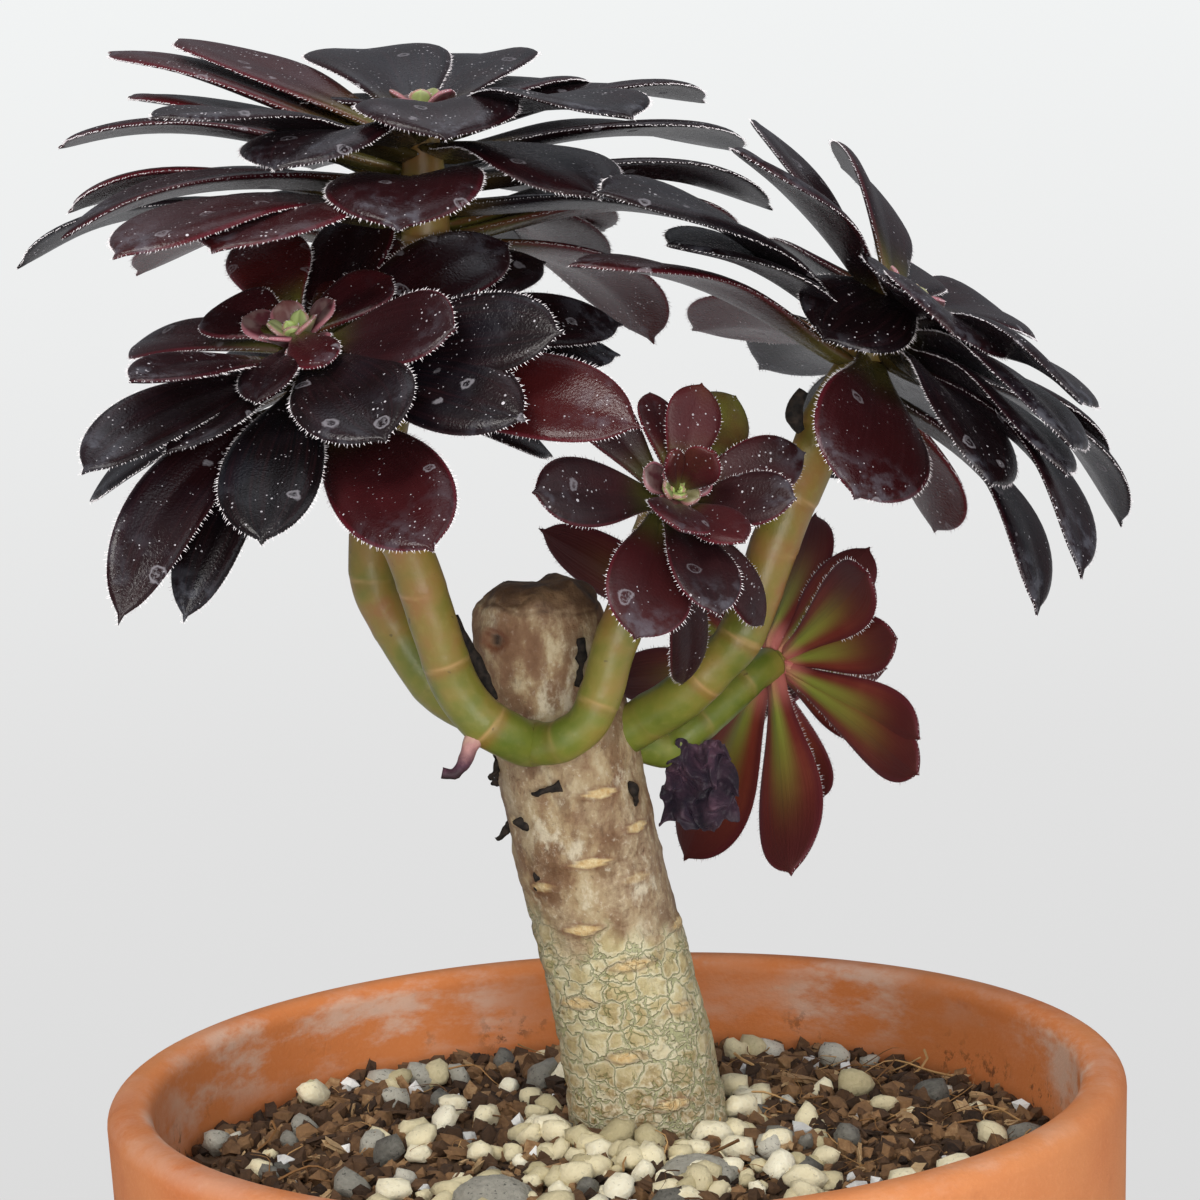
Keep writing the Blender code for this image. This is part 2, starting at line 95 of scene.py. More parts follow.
BRANCHES = {
    "front_left": (1.0, [
        (-10, -2, 74), (-13.2, -12, 75.6), (-16.5, -16.4, 78), (-20.6, -18, 81.2),
        (-24.6, -19, 87.5), (-27.3, -21, 97), (-31, -23, 111), (-37.5, -25, 124), (-42.8, -24, 132), (-45.5, -26, 138.5)]),
    "top": (1.0, [
        (-16, 8, 76), (-23.5, 13, 78), (-29.5, 15, 82), (-36, 16, 92), (-39.8, 15, 101),
        (-40, 14, 110), (-37, 10, 126), (-31, 5.5, 147), (-27, 4, 162.5)]),
    "right": (1.05, [
        (3, 2, 74), (8.7, 0, 77.5), (14, -3, 81), (20.5, -5, 87), (25.5, -6, 93),
        (31.5, -6, 108), (37.5, -4, 120), (42, -1, 129), (47, 0, 136.5)]),
    "front_small": (0.92, [
        (-11, -3, 74.5), (-11.5, -12, 75.4), (-7.1, -16.6, 76.4), (-2.4, -17.8, 79.4),
        (0.4, -18.3, 85), (2.6, -18.8, 92), (5.8, -19, 99.5), (8.6, -19.6, 107),
        (12, -26, 117)]),
    "rear_low": (0.8, [
        (5, 6, 72.5), (11.5, 9, 70), (16.5, 11, 73), (23.5, 15, 78),
        (28, 18, 81.5), (31.5, 22, 83)]),
}

# Each rosette: crown axis, crown radius and height, how far the feet of the
# outer leaves stand from the axis, darkness of the innermost and outermost
# leaves, and its leaves. A leaf is its turn round the axis, lift over it
# (degrees), height of its foot, length, width (mm), bend and twist
# (degrees), and where it differs from its neighbours its darkness and
# redness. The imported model's leaves come first, in order.
ROSETTES = {
    "front_left": dict(
        axis=(-0.17, -0.48, 0.86), radius=4.0, height=11, foot=6.0, wide=0.78,
        dark=(0.50, 0.92),
        packed=[
            (140, -13, 7, 40, 17, 20, 0), (103, 3, 10, 34, 19, -10, 0, 0.45, 0.5),
            (-67, 7, 7, 38, 25, 30, 5, 0.95), (46, -7, 6, 43, 19, 15, 30, 0.7),
            (-121, 16, 6, 50, 17, 25, -15, 1.0), (-94, 3, 2.5, 46, 21, 30, -10, 1.0),
            (-43, 4, 4.5, 46, 20, 20, 15, 0.85), (34, -21, 2, 58, 18, 20, 25, 0.9),
            (-115, 0, -0.5, 58, 15, 60, -35, 0.8), (-68, 2, -2.5, 52, 24, 20, 5, 0.56, 0.22),
            (-31, 0, 1, 58, 21, 25, 20, 0.58, 0.45),
        ],
        grown=[
            (-69, 10, 11, 17, 11, 10, 0), (145, 8, 10, 16, 19, 20, 0),
            (30, 8, 10, 17, 15, 10, 10),
            (-97, 14, 9, 24, 12, 25, 0, 0.8), (-36, 18, 8, 32, 19, 15, 25, 0.65),
            (-118, 30, 8, 40, 14, 15, -10, 0.7), (71, -2, 7, 34, 18, -5, 0, 0.5, 0.3),
            (-113, 17, 5, 38, 14, 20, -10, 0.95), (-27, 12, 5, 46, 20, 15, 30, 0.9),
            (45, -12, 4, 50, 17, 20, 25, 0.9), (-110, -7, 0, 50, 13, 35, -25, 0.95),
            (32, -24, 0, 56, 17, 20, 20), (161, -28, 0, 50, 14, 20, -10),
            (29, -45, -1, 46, 17, 15, 15), (149, -32, -1, 44, 13, 15, 0),
            (76, 10, 4, 38, 20, -5, 0, 0.7), (95, -18, 3, 46, 18, 15, 0),
            (120, -22, 1, 48, 17, 20, 0), (62, -24, 0, 48, 18, 20, 0),
        ]),
    "top": dict(
        axis=(0.01, -0.05, 1.0), radius=4.4, height=24, foot=6.0, wide=1.0,
        dark=(0.78, 0.98),
        packed=[
            (105, 16, 20, 50, 27, 25, 0), (-82, -4, 20, 38, 27, 45, 0),
            (41, 4, 18, 62, 20, 30, 0), (-117, -5, 17, 42, 26, 35, 0),
            (-50, -11, 15, 42, 25, 35, 0), (147, 17, 15, 68, 22, 15, 0, 0.6, 0.4),
            (-92, -6, 8, 44, 26, 50, 0, 0.7, 0.2), (26, -6, 9, 64, 24, 35, 0),
            (158, 0, 6, 66, 22, 40, 0, 0.6, 0.4), (-130, -2, 3, 66, 24, 35, -5, 0.6, 0.3),
            (160, -3, 0, 76, 18, 50, 0), (51, -20, -2, 62, 22, 55, 0, 0.58, 0.45),
        ],
        grown=[
            (126, 5, 22, 34, 18, 0, 0), (79, 14, 20, 50, 26, 25, 0), (63, 8, 20, 48, 24, 20, 0),
            (140, 19, 18, 58, 20, 10, 0, 0.6, 0.4), (-48, 1, 19, 48, 26, 30, 0),
            (-136, 8, 15, 52, 21, 20, -5), (36, -1, 14, 66, 24, 30, 0),
            (160, 5, 12, 66, 22, 35, 0, 0.7), (-120, -3, 4, 56, 27, 35, -5, 0.6, 0.3),
            (146, 15, 10, 64, 20, 20, 0, 0.6, 0.4), (143, -4, -2, 66, 22, 40, 0, 0.5, 0.5),
            (54, -6, 4, 48, 20, 25, 0, 0.55, 0.5), (41, 1, 2, 58, 20, 30, 0, 0.6, 0.4),
            (33, -2, 0, 62, 20, 40, 0, 0.6, 0.4),
            (94, 6, 15, 56, 24, 25, 0), (112, 0, 12, 60, 24, 30, 0), (75, -4, 10, 60, 24, 35, 0),
            (99, -10, 6, 62, 23, 40, 0), (125, -6, 5, 62, 23, 35, 0), (84, -16, 1, 60, 22, 45, 0),
            (112, -20, -1, 58, 22, 45, 0), (64, -14, 4, 60, 22, 40, 0, 0.55, 0.5),
            (-160, -6, 9, 58, 22, 40, 0, 0.7), (-3, -8, 5, 52, 21, 35, 0),
        ]),
    "right": dict(
        axis=(0.58, -0.01, 0.81), radius=4.4, height=16, foot=6.0, wide=0.95,
        dark=(0.74, 0.98),
        packed=[
            (111, 19, 15, 50, 22, 35, 15), (-111, -29, 14.5, 28, 22, 30, 0, 0.95),
            (132, 18, 12, 54, 16, 15, 0, 0.8), (-63, 6, 9, 54, 24, 35, 0),
            (-138, -4, 5, 68, 22, 35, 0), (31, -3, 7, 66, 18, 50, 0), (85, 2, 6, 50, 22, 30, 0),
            (-64, -12, 6, 48, 21, 30, 0), (-42, -17, -1.5, 54, 17, 60, 0, 0.8),
            (-149, -12, 0, 56, 21, 35, 10, 0.65, 0.3), (48, -21, 0, 46, 20, 25, 0, 0.5, 0.6),
            (-81, -27, 1.4, 42, 24, 35, 0, 0.62, 0.25),
        ],
        grown=[
            (-133, 7, 12, 52, 22, 20, 0), (115, -5, 13, 40, 22, 10, 0),
            (90, 14, 15, 30, 16, 10, 0), (-101, -1, 15, 30, 16, 10, 0, 0.85),
            (-82, 0, 13, 36, 26, 30, 0), (-137, -6, 5, 50, 23, 30, 5),
            (121, -15, 2, 46, 20, 30, 0, 0.5, 0.5), (62, 14, 13, 46, 22, 25, 0),
            (-60, -1, 9, 54, 24, 30, 0), (36, 2, 9, 58, 20, 35, 0), (-58, -3, 7, 54, 20, 25, 0),
            (-52, -11, 4, 64, 16, 55, 0, 0.85), (70, -8, 4, 56, 22, 35, 0),
            (100, -12, 2, 54, 22, 35, 0), (78, -24, 0, 50, 20, 40, 0),
        ]),
    "front_small": dict(
        axis=(0.31, -0.87, 0.38), radius=2.4, height=7, foot=3.5, wide=0.88,
        dark=(0.36, 0.62),
        packed=[
            (55, -16, 3, 24, 13, 10, 0, 0.12, 0.2), (-18, 54, 2.5, 22, 12, 10, 0, 0.6),
            (-169, 28, 2.8, 28, 14, 20, 0, 0.62), (-110, 23, 0.2, 28, 17, 25, 0, 0.5, 0.25),
        ],
        grown=[
            (132, 64, 7, 9, 5, 0, 0), (92, -24, 5, 19, 8, 10, 0), (75, 8, 5, 17, 11, 10, 0),
            (-109, 56, 5, 16, 13, 20, 0), (45, 79, 6, 12, 8, 0, 0), (-60, 52, 4, 18, 10, 20, 0),
            (-84, 35, 2, 26, 13, 25, 0), (-36, -33, 1, 28, 9, 30, 0), (-66, -49, 0, 34, 9, 40, 0),
            (125, -10, 1, 24, 12, 20, 0), (20, 10, 2, 22, 12, 15, 0),
        ]),
    "rear_low": dict(
        axis=(0.50, 0.86, -0.07), radius=2.8, height=6, foot=4.6, wide=0.82,
        dark=(0.30, 0.55),
        packed=[
            (-96, 48, 2, 34, 14, 20, 0), (-32, -27, 1, 30, 15, 25, 0), (30, -19, 1.2, 36, 14, 30, 0),
            (69, -32, -1.5, 40, 17, 15, 0), (126, 19, 0.5, 46, 19, 15, 0, 0.25, 0.9),
        ],
        grown=[
            (-9, -20, 2, 27, 13, 20, 0), (15, 74, 3, 26, 12, 10, 0), (22, -16, 1, 32, 13, 25, 0),
            (92, 40, 2, 30, 11, 10, 0), (175, 16, 0, 38, 13, 15, 0), (-153, 6, 0, 54, 14, 10, 0),
            (-160, 31, 1, 34, 12, 10, 0), (-60, 40, 3, 26, 14, 15, 0), (150, 45, 3, 24, 13, 15, 0),
            (50, 45, 3, 24, 13, 15, 0), (-120, 58, 4, 20, 11, 10, 0),
        ]),
}

# Young leaves in each rosette's heart: how many, and the shortest and
# longest of them in mm.
HEARTS = {"front_left": (11, 3, 10.5), "top": (8, 3, 10), "right": (8, 3, 10),
          "front_small": (11, 2.5, 7.5), "rear_low": (8, 3, 10)}

# Leaf scars that show on the trunk: turn round it from the front and height
# over the soil in degrees and mm, width in mm, and how fresh and pale it is.
TRUNK_SCARS = [
    (22, 65.4, 6.5, 1.0), (50, 58.4, 5.5, 1.0), (3, 53.0, 7.0, 1.0), (-42, 48.4, 5.0, 0.8),
    (38, 49.4, 6.0, 0.4), (-17, 40.8, 6.5, 1.0), (75, 39.4, 6.5, 0.9), (15, 34.1, 7.5, 0.9),
    (-38, 27.0, 6.0, 0.9), (46, 25.2, 5.5, 0.8), (-8, 17.5, 6.0, 1.0), (21, 8.5, 6.5, 1.0),
    (-60, 60.0, 4.5, 0.7), (120, 55.0, 6.0, 0.9), (165, 62.0, 6.0, 0.8), (-140, 50.0, 6.5, 0.9),
    (-100, 38.0, 6.0, 0.8), (150, 36.0, 6.5, 1.0), (-160, 24.0, 6.0, 0.8), (110, 20.0, 6.0, 0.8),
    (-95, 14.0, 6.0, 0.9), (180, 10.0, 6.0, 0.7), (140, 80.0, 5.0, 0.7), (-150, 84.0, 5.0, 0.6),
]

# The healed cut on top of the trunk: height of the crease round it, and the
# turn, height and half sizes of the old branch scar below it, in mm.
CREASE = 98.6
EYE = (-39, 93.0)
EYE_SIZE = (2.3, 1.6)

# Dry black leaf stalks that still cling to the trunk: turn, height, length,
# width in mm and lean in degrees.
DRY_STALKS = [
    (-8, 67.2, 5.2, 2.2, -75), (50, 66.5, 5.0, 2.4, 25), (-44, 50.6, 3.2, 2.4, -20),
    (-78, 68.5, 6.5, 3.0, -60), (-84, 71.5, 5.0, 3.4, 40), (-80, 59.0, 4.0, 2.2, -30),
    (-66, 88.0, 9.0, 2.4, 5), (38, 92.5, 8.0, 3.0, -8), (-52, 60.5, 3.6, 3.0, 60),
    (130, 64.0, 5.0, 2.4, 30), (-130, 58.0, 5.0, 2.6, -35), (170, 45.0, 4.0, 2.4, 10),
]

# Longer dry stalks: points in mm from the soil's middle, and radii.
HANGING_STALKS = [
    [((-20.6, -18.5, 79.5), 1.7), ((-22.4, -19.5, 76.6), 1.5), ((-23.6, -19.5, 73.6), 1.1),
     ((-25.2, -19.5, 71.9), 0.9), ((-27.4, -19.5, 72.3), 1.1)],
    [((-24.6, -12.0, 98.0), 1.0), ((-23.2, -12.2, 93.8), 1.2), ((-21.0, -12.4, 89.9), 1.3),
     ((-19.2, -12.4, 86.0), 0.9), ((-18.2, -12.2, 83.2), 0.6)],
    [((37.0, -9.5, 134.0), 0.9), ((35.2, -9.8, 130.5), 1.6), ((36.4, -9.6, 127.0), 0.7)],
]

# ------------------------------------------------------------ user settings


def length_value(name, description, millimetres):
    """A length that the sidebar shows in the scene's units."""
    return FloatProperty(name=name, description=description, default=millimetres * MM,
                         min=0.0, precision=5, subtype='DISTANCE', unit='LENGTH')


def colour_value(name, description, hex_colour):
    """A colour that the sidebar shows as a swatch."""
    return FloatVectorProperty(name=name, description=description, size=3, min=0.0, max=1.0,
                               default=linear(hex_colour)[:3], subtype='COLOR')


def linear(hex_colour):
    """An sRGB hex colour as linear red, green, blue and alpha."""
    values = [int(hex_colour[i:i + 2], 16) / 255 for i in (1, 3, 5)]
    return tuple(v / 12.92 if v <= 0.04045 else ((v + 0.055) / 1.055) ** 2.4
                 for v in values) + (1.0,)


class PotSettings(bpy.types.PropertyGroup):
    """Clay pot."""
    clay: colour_value("Clay", "Colour of the fired clay", "#CD8350")
    bloom: colour_value("Bloom", "Colour of the lime that the clay sweats out", "#DCC4B2")


class SoilSettings(bpy.types.PropertyGroup):
    """Potting soil."""
    chips: IntProperty(name="Bark chips", description="Chips of bark on the soil", default=1300)
    pebbles: IntProperty(name="Pumice", description="Cream pumice pebbles", default=210)
    perlite: IntProperty(name="Perlite", description="White perlite grains", default=90)
    stones: IntProperty(name="Grit", description="Grey grit stones", default=60)
    fibres: IntProperty(name="Fibres", description="Fine roots and coir fibres", default=150)


class PlantSettings(bpy.types.PropertyGroup):
    """Trunk, branches and leaves."""
    leaf_thickness: length_value("Leaf thickness", "Of a full leaf, at its middle", 1.9)
    hair_length: length_value("Hair length", "Of the white hairs along a leaf's edge", 0.82)
    hair_spacing: length_value("Hair spacing", "Between two hairs along the edge", 0.62)
    dark: colour_value("Dark leaf", "Colour of the oldest leaves", "#1B1A20")
    wine: colour_value("Wine leaf", "Colour of the middle leaves", "#43191D")


class StageSettings(bpy.types.PropertyGroup):
    """Floor and light."""
    floor: colour_value("Floor", "Colour of the floor and the backdrop", "#E6E7EA")
    key: FloatProperty(name="Key light", description="Power of the main soft box", default=10.0,
                       subtype='POWER', unit='POWER')


# ------------------------------------------------------------------ helpers


def deselect():
    """Leave nothing selected."""
    if bpy.context.object and bpy.context.object.mode != 'OBJECT':
        bpy.ops.object.mode_set(mode='OBJECT')
    bpy.ops.object.select_all(action='DESELECT')


def apply_modifiers(obj):
    """Turn an object's modifiers into its mesh."""
    deselect()
    obj.select_set(True)
    bpy.context.view_layer.objects.active = obj
    for modifier in list(obj.modifiers):
        bpy.ops.object.modifier_apply(modifier=modifier.name)


def join(objects):
    """Join objects into the first of them."""
    deselect()
    for obj in objects:
        obj.select_set(True)
    bpy.context.view_layer.objects.active = objects[0]
    if len(objects) > 1:
        bpy.ops.object.join()
    return objects[0]


def settle(obj, name, materials=(), replaced=()):
    """Name a finished piece, give it its materials and tie it to the frame."""
    obj.name = name
    obj.data.name = name
    if materials:
        obj.data.materials.clear()
        for material in materials:
            obj.data.materials.append(material)
    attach(obj, BODY)
    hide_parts(*replaced)
    return obj


def coordinates(mesh):
    """The places of a mesh's vertices as an array."""
    places = np.empty(len(mesh.vertices) * 3)
    mesh.vertices.foreach_get("co", places)
    return places.reshape(-1, 3)


def set_coordinates(mesh, places):
    """Move a mesh's vertices."""
    mesh.vertices.foreach_set("co", np.asarray(places, float).ravel())
    mesh.update()


def write_attribute(mesh, name, values):
    """Store one number per vertex for the material to read."""
    layer = mesh.attributes.get(name) or mesh.attributes.new(name, 'FLOAT', 'POINT')
    layer.data.foreach_set("value", np.ascontiguousarray(values, dtype=np.float32))


def write_tone(mesh, tone):
    """Store the same three numbers on each vertex: darkness, redness, chance."""
    layer = mesh.attributes.get("tone") or mesh.attributes.new("tone", 'FLOAT_VECTOR', 'POINT')
    layer.data.foreach_set("vector", np.tile(np.array(tone, np.float32), len(mesh.vertices)))


def read_shape(obj):
    """A prototype's vertices and faces, after which it is removed."""
    points = coordinates(obj.data)
    faces = [tuple(p.vertices) for p in obj.data.polygons]
    bpy.data.objects.remove(obj)
    return points, faces


def copies(name, shapes, rows, smooth=False):
    """One mesh of many copies. A row is a shape's number, a 4x4 matrix and a
    number in 0..1 that the material reads as that copy's own shade."""
    points, faces, shades, start = [], [], [], 0
    for kind, matrix, shade in rows:
        shape, rings = shapes[kind]
        m = np.array(matrix)
        points.append(shape @ m[:3, :3].T + m[:3, 3])
        faces += [tuple(start + i for i in ring) for ring in rings]
        shades += [shade] * len(shape)
        start += len(shape)
    mesh = bpy.data.meshes.new(name)
    mesh.from_pydata(np.concatenate(points).tolist(), [], faces)
    mesh.update()
    if smooth:
        mesh.shade_smooth()
    write_attribute(mesh, "shade", shades)
    obj = bpy.data.objects.new(name, mesh)
    bpy.context.scene.collection.objects.link(obj)
    return obj


def curve_through(points, per_span):
    """Read a smooth curve through (x, y, z, radius) points."""
    rows = [np.array(p, float) for p in points]
    ends = [rows[0]] + rows + [rows[-1]]
    out = []
    for i in range(1, len(ends) - 2):
        p0, p1, p2, p3 = ends[i - 1:i + 3]
        for step in range(per_span):
            t = step / per_span
            out.append(0.5 * (2 * p1 + (p2 - p0) * t + (2 * p0 - 5 * p1 + 4 * p2 - p3) * t * t
                              + (3 * p1 - p0 - 3 * p2 + p3) * t ** 3))
    out.append(rows[-1])
    return np.array(out)


def even_steps(samples, step):
    """Read samples again at even steps along their line; also says how far."""
    gaps = np.linalg.norm(np.diff(samples[:, :3], axis=0), axis=1)
    along = np.concatenate([[0], np.cumsum(gaps)])
    wanted = np.linspace(0, along[-1], max(3, int(along[-1] / step) + 1))
    return np.stack([np.interp(wanted, along, samples[:, k]) for k in range(4)], 1), wanted


def tube(name, samples, sides):
    """A closed tube along (x, y, z, radius) samples, ring after ring."""
    data = bpy.data.curves.new(name, 'CURVE')
    data.dimensions = '3D'
    data.bevel_depth = 1.0
    data.bevel_resolution = sides // 2 - 2
    data.use_fill_caps = True
    spline = data.splines.new('POLY')
    spline.points.add(len(samples) - 1)
    for point, (x, y, z, radius) in zip(spline.points, samples):
        point.co = (x, y, z, 1.0)
        point.radius = radius
    obj = bpy.data.objects.new(name, data)
    bpy.context.scene.collection.objects.link(obj)
    deselect()
    obj.select_set(True)
    bpy.context.view_layer.objects.active = obj
    bpy.ops.object.convert(target='MESH')
    obj = bpy.context.object
    bpy.ops.object.mode_set(mode='EDIT')
    bpy.ops.mesh.select_all(action='SELECT')
    bpy.ops.mesh.remove_doubles(threshold=1e-6)
    bpy.ops.mesh.normals_make_consistent(inside=False)
    bpy.ops.object.mode_set(mode='OBJECT')
    obj.data.shade_smooth()
    return obj


def plant_point(x, y, z):
    """A point given in mm from the middle of the soil's surface."""
    return SOIL_MIDDLE + Vector((x, y, z)) * MM


def wall_radius(below):
    """Inner radius of the pot in mm, that far below the rim."""
    inner = POT_RADIUS / MM - LIP_THICKNESS
    if below <= COLLAR_HEIGHT:
        return inner - COLLAR_STEP * below / COLLAR_HEIGHT
    return inner - COLLAR_STEP - WALL_SLOPE * (below - COLLAR_HEIGHT)


def fractal(place, size, octaves=3):
    """Smooth noise of about -1..1 whose patches are about size mm across."""
    return noise.fractal(Vector(place) / (size * MM), 1.0, 2.0, octaves)


# ---------------------------------------------------------------- materials


def add_node(tree, kind, inputs=None, output=0, stops=None, **settings):
    """Add a node with its settings and links, and give back one output.
    An input takes a value or another node's output."""
    node = tree.nodes.new(kind)
    for name, value in settings.items():
        setattr(node, name, value)
    for key, value in (inputs or {}).items():
        if isinstance(value, bpy.types.NodeSocket):
            tree.links.new(value, node.inputs[key])
        else:
            node.inputs[key].default_value = value
    if stops:
        ramp = node.color_ramp
        for place, colour in stops[2:]:
            ramp.elements.new(place)
        for element, (place, colour) in zip(ramp.elements, sorted(stops)):
            element.position = place
            element.color = linear(colour) if isinstance(colour, str) else (colour,) * 3 + (1,)
    return node.outputs[output]


def new_material(name, roughness, specular=0.5, **sockets):
    """An empty material with its shader's fixed values set on their sockets."""
    material = bpy.data.materials.new(name)
    material.use_nodes = True
    tree = material.node_tree
    shader = tree.nodes["Principled BSDF"]
    shader.inputs["Roughness"].default_value = roughness
    shader.inputs["Specular IOR Level"].default_value = specular
    for key, value in sockets.items():
        shader.inputs[key.replace("_", " ")].default_value = value
    return material, tree, shader


def mixed(tree, factor, first, second, blend='MIX'):
    """Blend two colours."""
    return add_node(tree, 'ShaderNodeMix', {0: factor, 6: first, 7: second}, output=2,
                    data_type='RGBA', blend_type=blend)


def band(tree, value, low, high):
    """0 below low and 1 above high, or the other way when low is the larger."""
    turned = low > high
    return add_node(tree, 'ShaderNodeMapRange',
                    {0: value, 1: min(low, high), 2: max(low, high),
                     3: 1.0 if turned else 0.0, 4: 0.0 if turned else 1.0},
                    interpolation_type='SMOOTHSTEP')


def times(tree, *values):
    """Multiply numbers."""
    result = values[0]
    for value in values[1:]:
        result = add_node(tree, 'ShaderNodeMath', {0: result, 1: value}, operation='MULTIPLY')
    return result


def patches(tree, place, size, detail=4.0, rough=0.55):
    """Noise whose patches are about size mm across."""
    return add_node(tree, 'ShaderNodeTexNoise',
                    {"Vector": place, "Scale": 1.0 / (size * MM), "Detail": detail,
                     "Roughness": rough})


def relief(tree, shader, height, depth):
    """Bump of a depth in mm."""
    bump = add_node(tree, 'ShaderNodeBump', {"Height": height, "Distance": depth * MM})
    tree.links.new(bump, shader.inputs["Normal"])


def paint(tree, shader, colour, roughness=None):
    """Join a colour, and maybe a roughness, to the shader."""
    tree.links.new(colour, shader.inputs["Base Color"])
    if roughness is not None:
        tree.links.new(roughness, shader.inputs["Roughness"])


def object_place(tree):
    """Where a point is in the piece's own space."""
    return add_node(tree, 'ShaderNodeTexCoord', output="Object")


def vertex_number(tree, name):
    """A number stored on the vertices."""
    return add_node(tree, 'ShaderNodeAttribute', output="Fac", attribute_name=name)


def leaf_upper(settings, downy=False):
    """Succulent leaf skin with a thin natural waxy coat: dark wine to black, green
    towards the foot, and dried water marks. Bluish-grey patches are partly waxy
    bloom and partly painted sheen, and a pale bluish painted highlight lies near
    the tips. The downy kind is duller and has a little more sheen."""
    name = "downy_leaf_skin" if downy else "waxy_leaf_skin"
    material, tree, shader = new_material(
        name, 0.27, 0.30, Sheen_Weight=0.06 if downy else 0.02, Sheen_Roughness=0.4,
        Sheen_Tint=linear("#C9C0CC"))
    place = object_place(tree)
    grid = add_node(tree, 'ShaderNodeUVMap', output="UV", uv_map="UVMap")
    split = add_node(tree, 'ShaderNodeSeparateXYZ', {0: grid})
    along = split
    across = split.node.outputs["Y"]
    tone = add_node(tree, 'ShaderNodeAttribute', output="Vector", attribute_name="tone")
    tones = add_node(tree, 'ShaderNodeSeparateXYZ', {0: tone}).node
    darkness, redness, chance = tones.outputs
    broad = patches(tree, place, 14, 3.0)
    fine = patches(tree, place, 2.5, 4.0)
    grain = patches(tree, place, 0.45, 2.0)
    uneven = add_node(tree, 'ShaderNodeMath', {0: broad, 1: 0.5, 2: -0.25},
                      operation='MULTIPLY_ADD')
    dark_here = add_node(tree, 'ShaderNodeMath', {0: darkness, 1: uneven}, operation='ADD')
    skin = add_node(tree, 'ShaderNodeValToRGB', {0: dark_here}, stops=[
        (0.0, "#66702C"), (1.0, "#090708"), (0.2, "#54301C"), (0.38, "#431518"),
        (0.60, "#260D10"), (0.82, "#100709")])
    # Bluish-grey patches on the dark leaves: partly their waxy bloom, partly painted sheen.
    wax_and_sheen = times(tree, band(tree, broad, 0.40, 0.70), band(tree, darkness, 0.55, 0.85), 0.35)
    skin = mixed(tree, wax_and_sheen, skin, linear("#1B1C25"))
    red_patch = times(tree, band(tree, redness, 0.0, 1.0), band(tree, broad, 0.25, 0.60))
    skin = mixed(tree, red_patch, skin, linear("#541714"))
    foot_reach = band(tree, add_node(tree, 'ShaderNodeMath', {0: along, 1: darkness},
                                     operation='ADD'), 1.15, 0.45)
    foot = times(tree, band(tree, along, 0.50, 0.06), foot_reach)
    skin = mixed(tree, foot, skin, linear("#6A7030"))
    stalk = band(tree, along, 0.26, 0.02)
    skin = mixed(tree, times(tree, stalk, 0.5), skin, linear("#5A4523"))
    veins = patches(tree, add_node(tree, 'ShaderNodeMapping', {0: grid, 3: (2.0, 26.0, 1.0)}),
                    1000.0, 3.0)
    skin = mixed(tree, times(tree, band(tree, veins, 0.40, 0.75), 0.16), skin, linear("#4A262A"))
    edge = add_node(tree, 'ShaderNodeMath', {0: across, 1: 0.5}, operation='SUBTRACT')
    edge = add_node(tree, 'ShaderNodeMath', {0: edge}, operation='ABSOLUTE')
    flush = band(tree, darkness, 0.90, 0.45)
    skin = mixed(tree, times(tree, band(tree, edge, 0.455, 0.485), flush, 0.6), skin,
                 linear("#621825"))
    # Painted highlight: pale bluish grey in patches near the tip, standing in for light on the rounded
    # rim there.
    bloom = times(tree, band(tree, along, 0.70, 0.98), band(tree, fine, 0.42, 0.66))
    skin = mixed(tree, times(tree, bloom, band(tree, broad, 0.40, 0.62), 0.28), skin,
                 linear("#7C7F8A"))
    # Marks where drops dried: 2 to 4 mm across, one or two on each leaf.
    cells = add_node(tree, 'ShaderNodeTexVoronoi', {"Vector": place, "Scale": 1 / (7 * MM),
                                                    "Randomness": 1.0}).node
    wobble = add_node(tree, 'ShaderNodeMath', {0: fine, 1: 0.34, 2: cells.outputs["Distance"]},
                      operation='MULTIPLY_ADD')
    rare = add_node(tree, 'ShaderNodeSeparateColor', {0: cells.outputs["Color"]})
    chosen = band(tree, rare, 0.55, 0.62)
    ring = times(tree, band(tree, wobble, 0.28, 0.325), band(tree, wobble, 0.375, 0.33))
    inside = times(tree, band(tree, wobble, 0.34, 0.26), band(tree, grain, 0.45, 0.65))
    marks = times(tree, chosen, add_node(tree, 'ShaderNodeMath', {
        0: times(tree, ring, 0.42), 1: times(tree, inside, 0.30)}, operation='MAXIMUM'))
    skin = mixed(tree, marks, skin, linear("#A5A1A8"))
    # Dust and salt in specks of every size, thicker in some places than others.
    thick = band(tree, patches(tree, place, 9, 2.0), 0.25, 0.70)
    for spacing, size, strength in ((0.75, 0.34, 0.60), (1.8, 0.20, 0.9)):
        dots = add_node(tree, 'ShaderNodeTexVoronoi', {
            "Vector": place, "Scale": 1 / (spacing * MM), "Randomness": 1.0}).node
        any_size = add_node(tree, 'ShaderNodeSeparateColor', {0: dots.outputs["Color"]})
        reach = times(tree, any_size, any_size, thick, size)
        dot = add_node(tree, 'ShaderNodeMath', {0: reach, 1: dots.outputs["Distance"]},
                       operation='SUBTRACT')
        skin = mixed(tree, times(tree, band(tree, dot, 0.0, 0.05), strength), skin,
                     linear("#CFCBD0"))
    rough = add_node(tree, 'ShaderNodeMapRange', {0: fine, 3: 0.19, 4: 0.34})
    if downy:
        rough = add_node(tree, 'ShaderNodeMath', {0: rough, 1: 0.2}, operation='ADD')
    rough = add_node(tree, 'ShaderNodeMath', {0: marks, 1: 0.8, 2: rough},
                     operation='MULTIPLY_ADD')
    paint(tree, shader, skin, rough)
    relief(tree, shader, grain, 0.10)
    return material


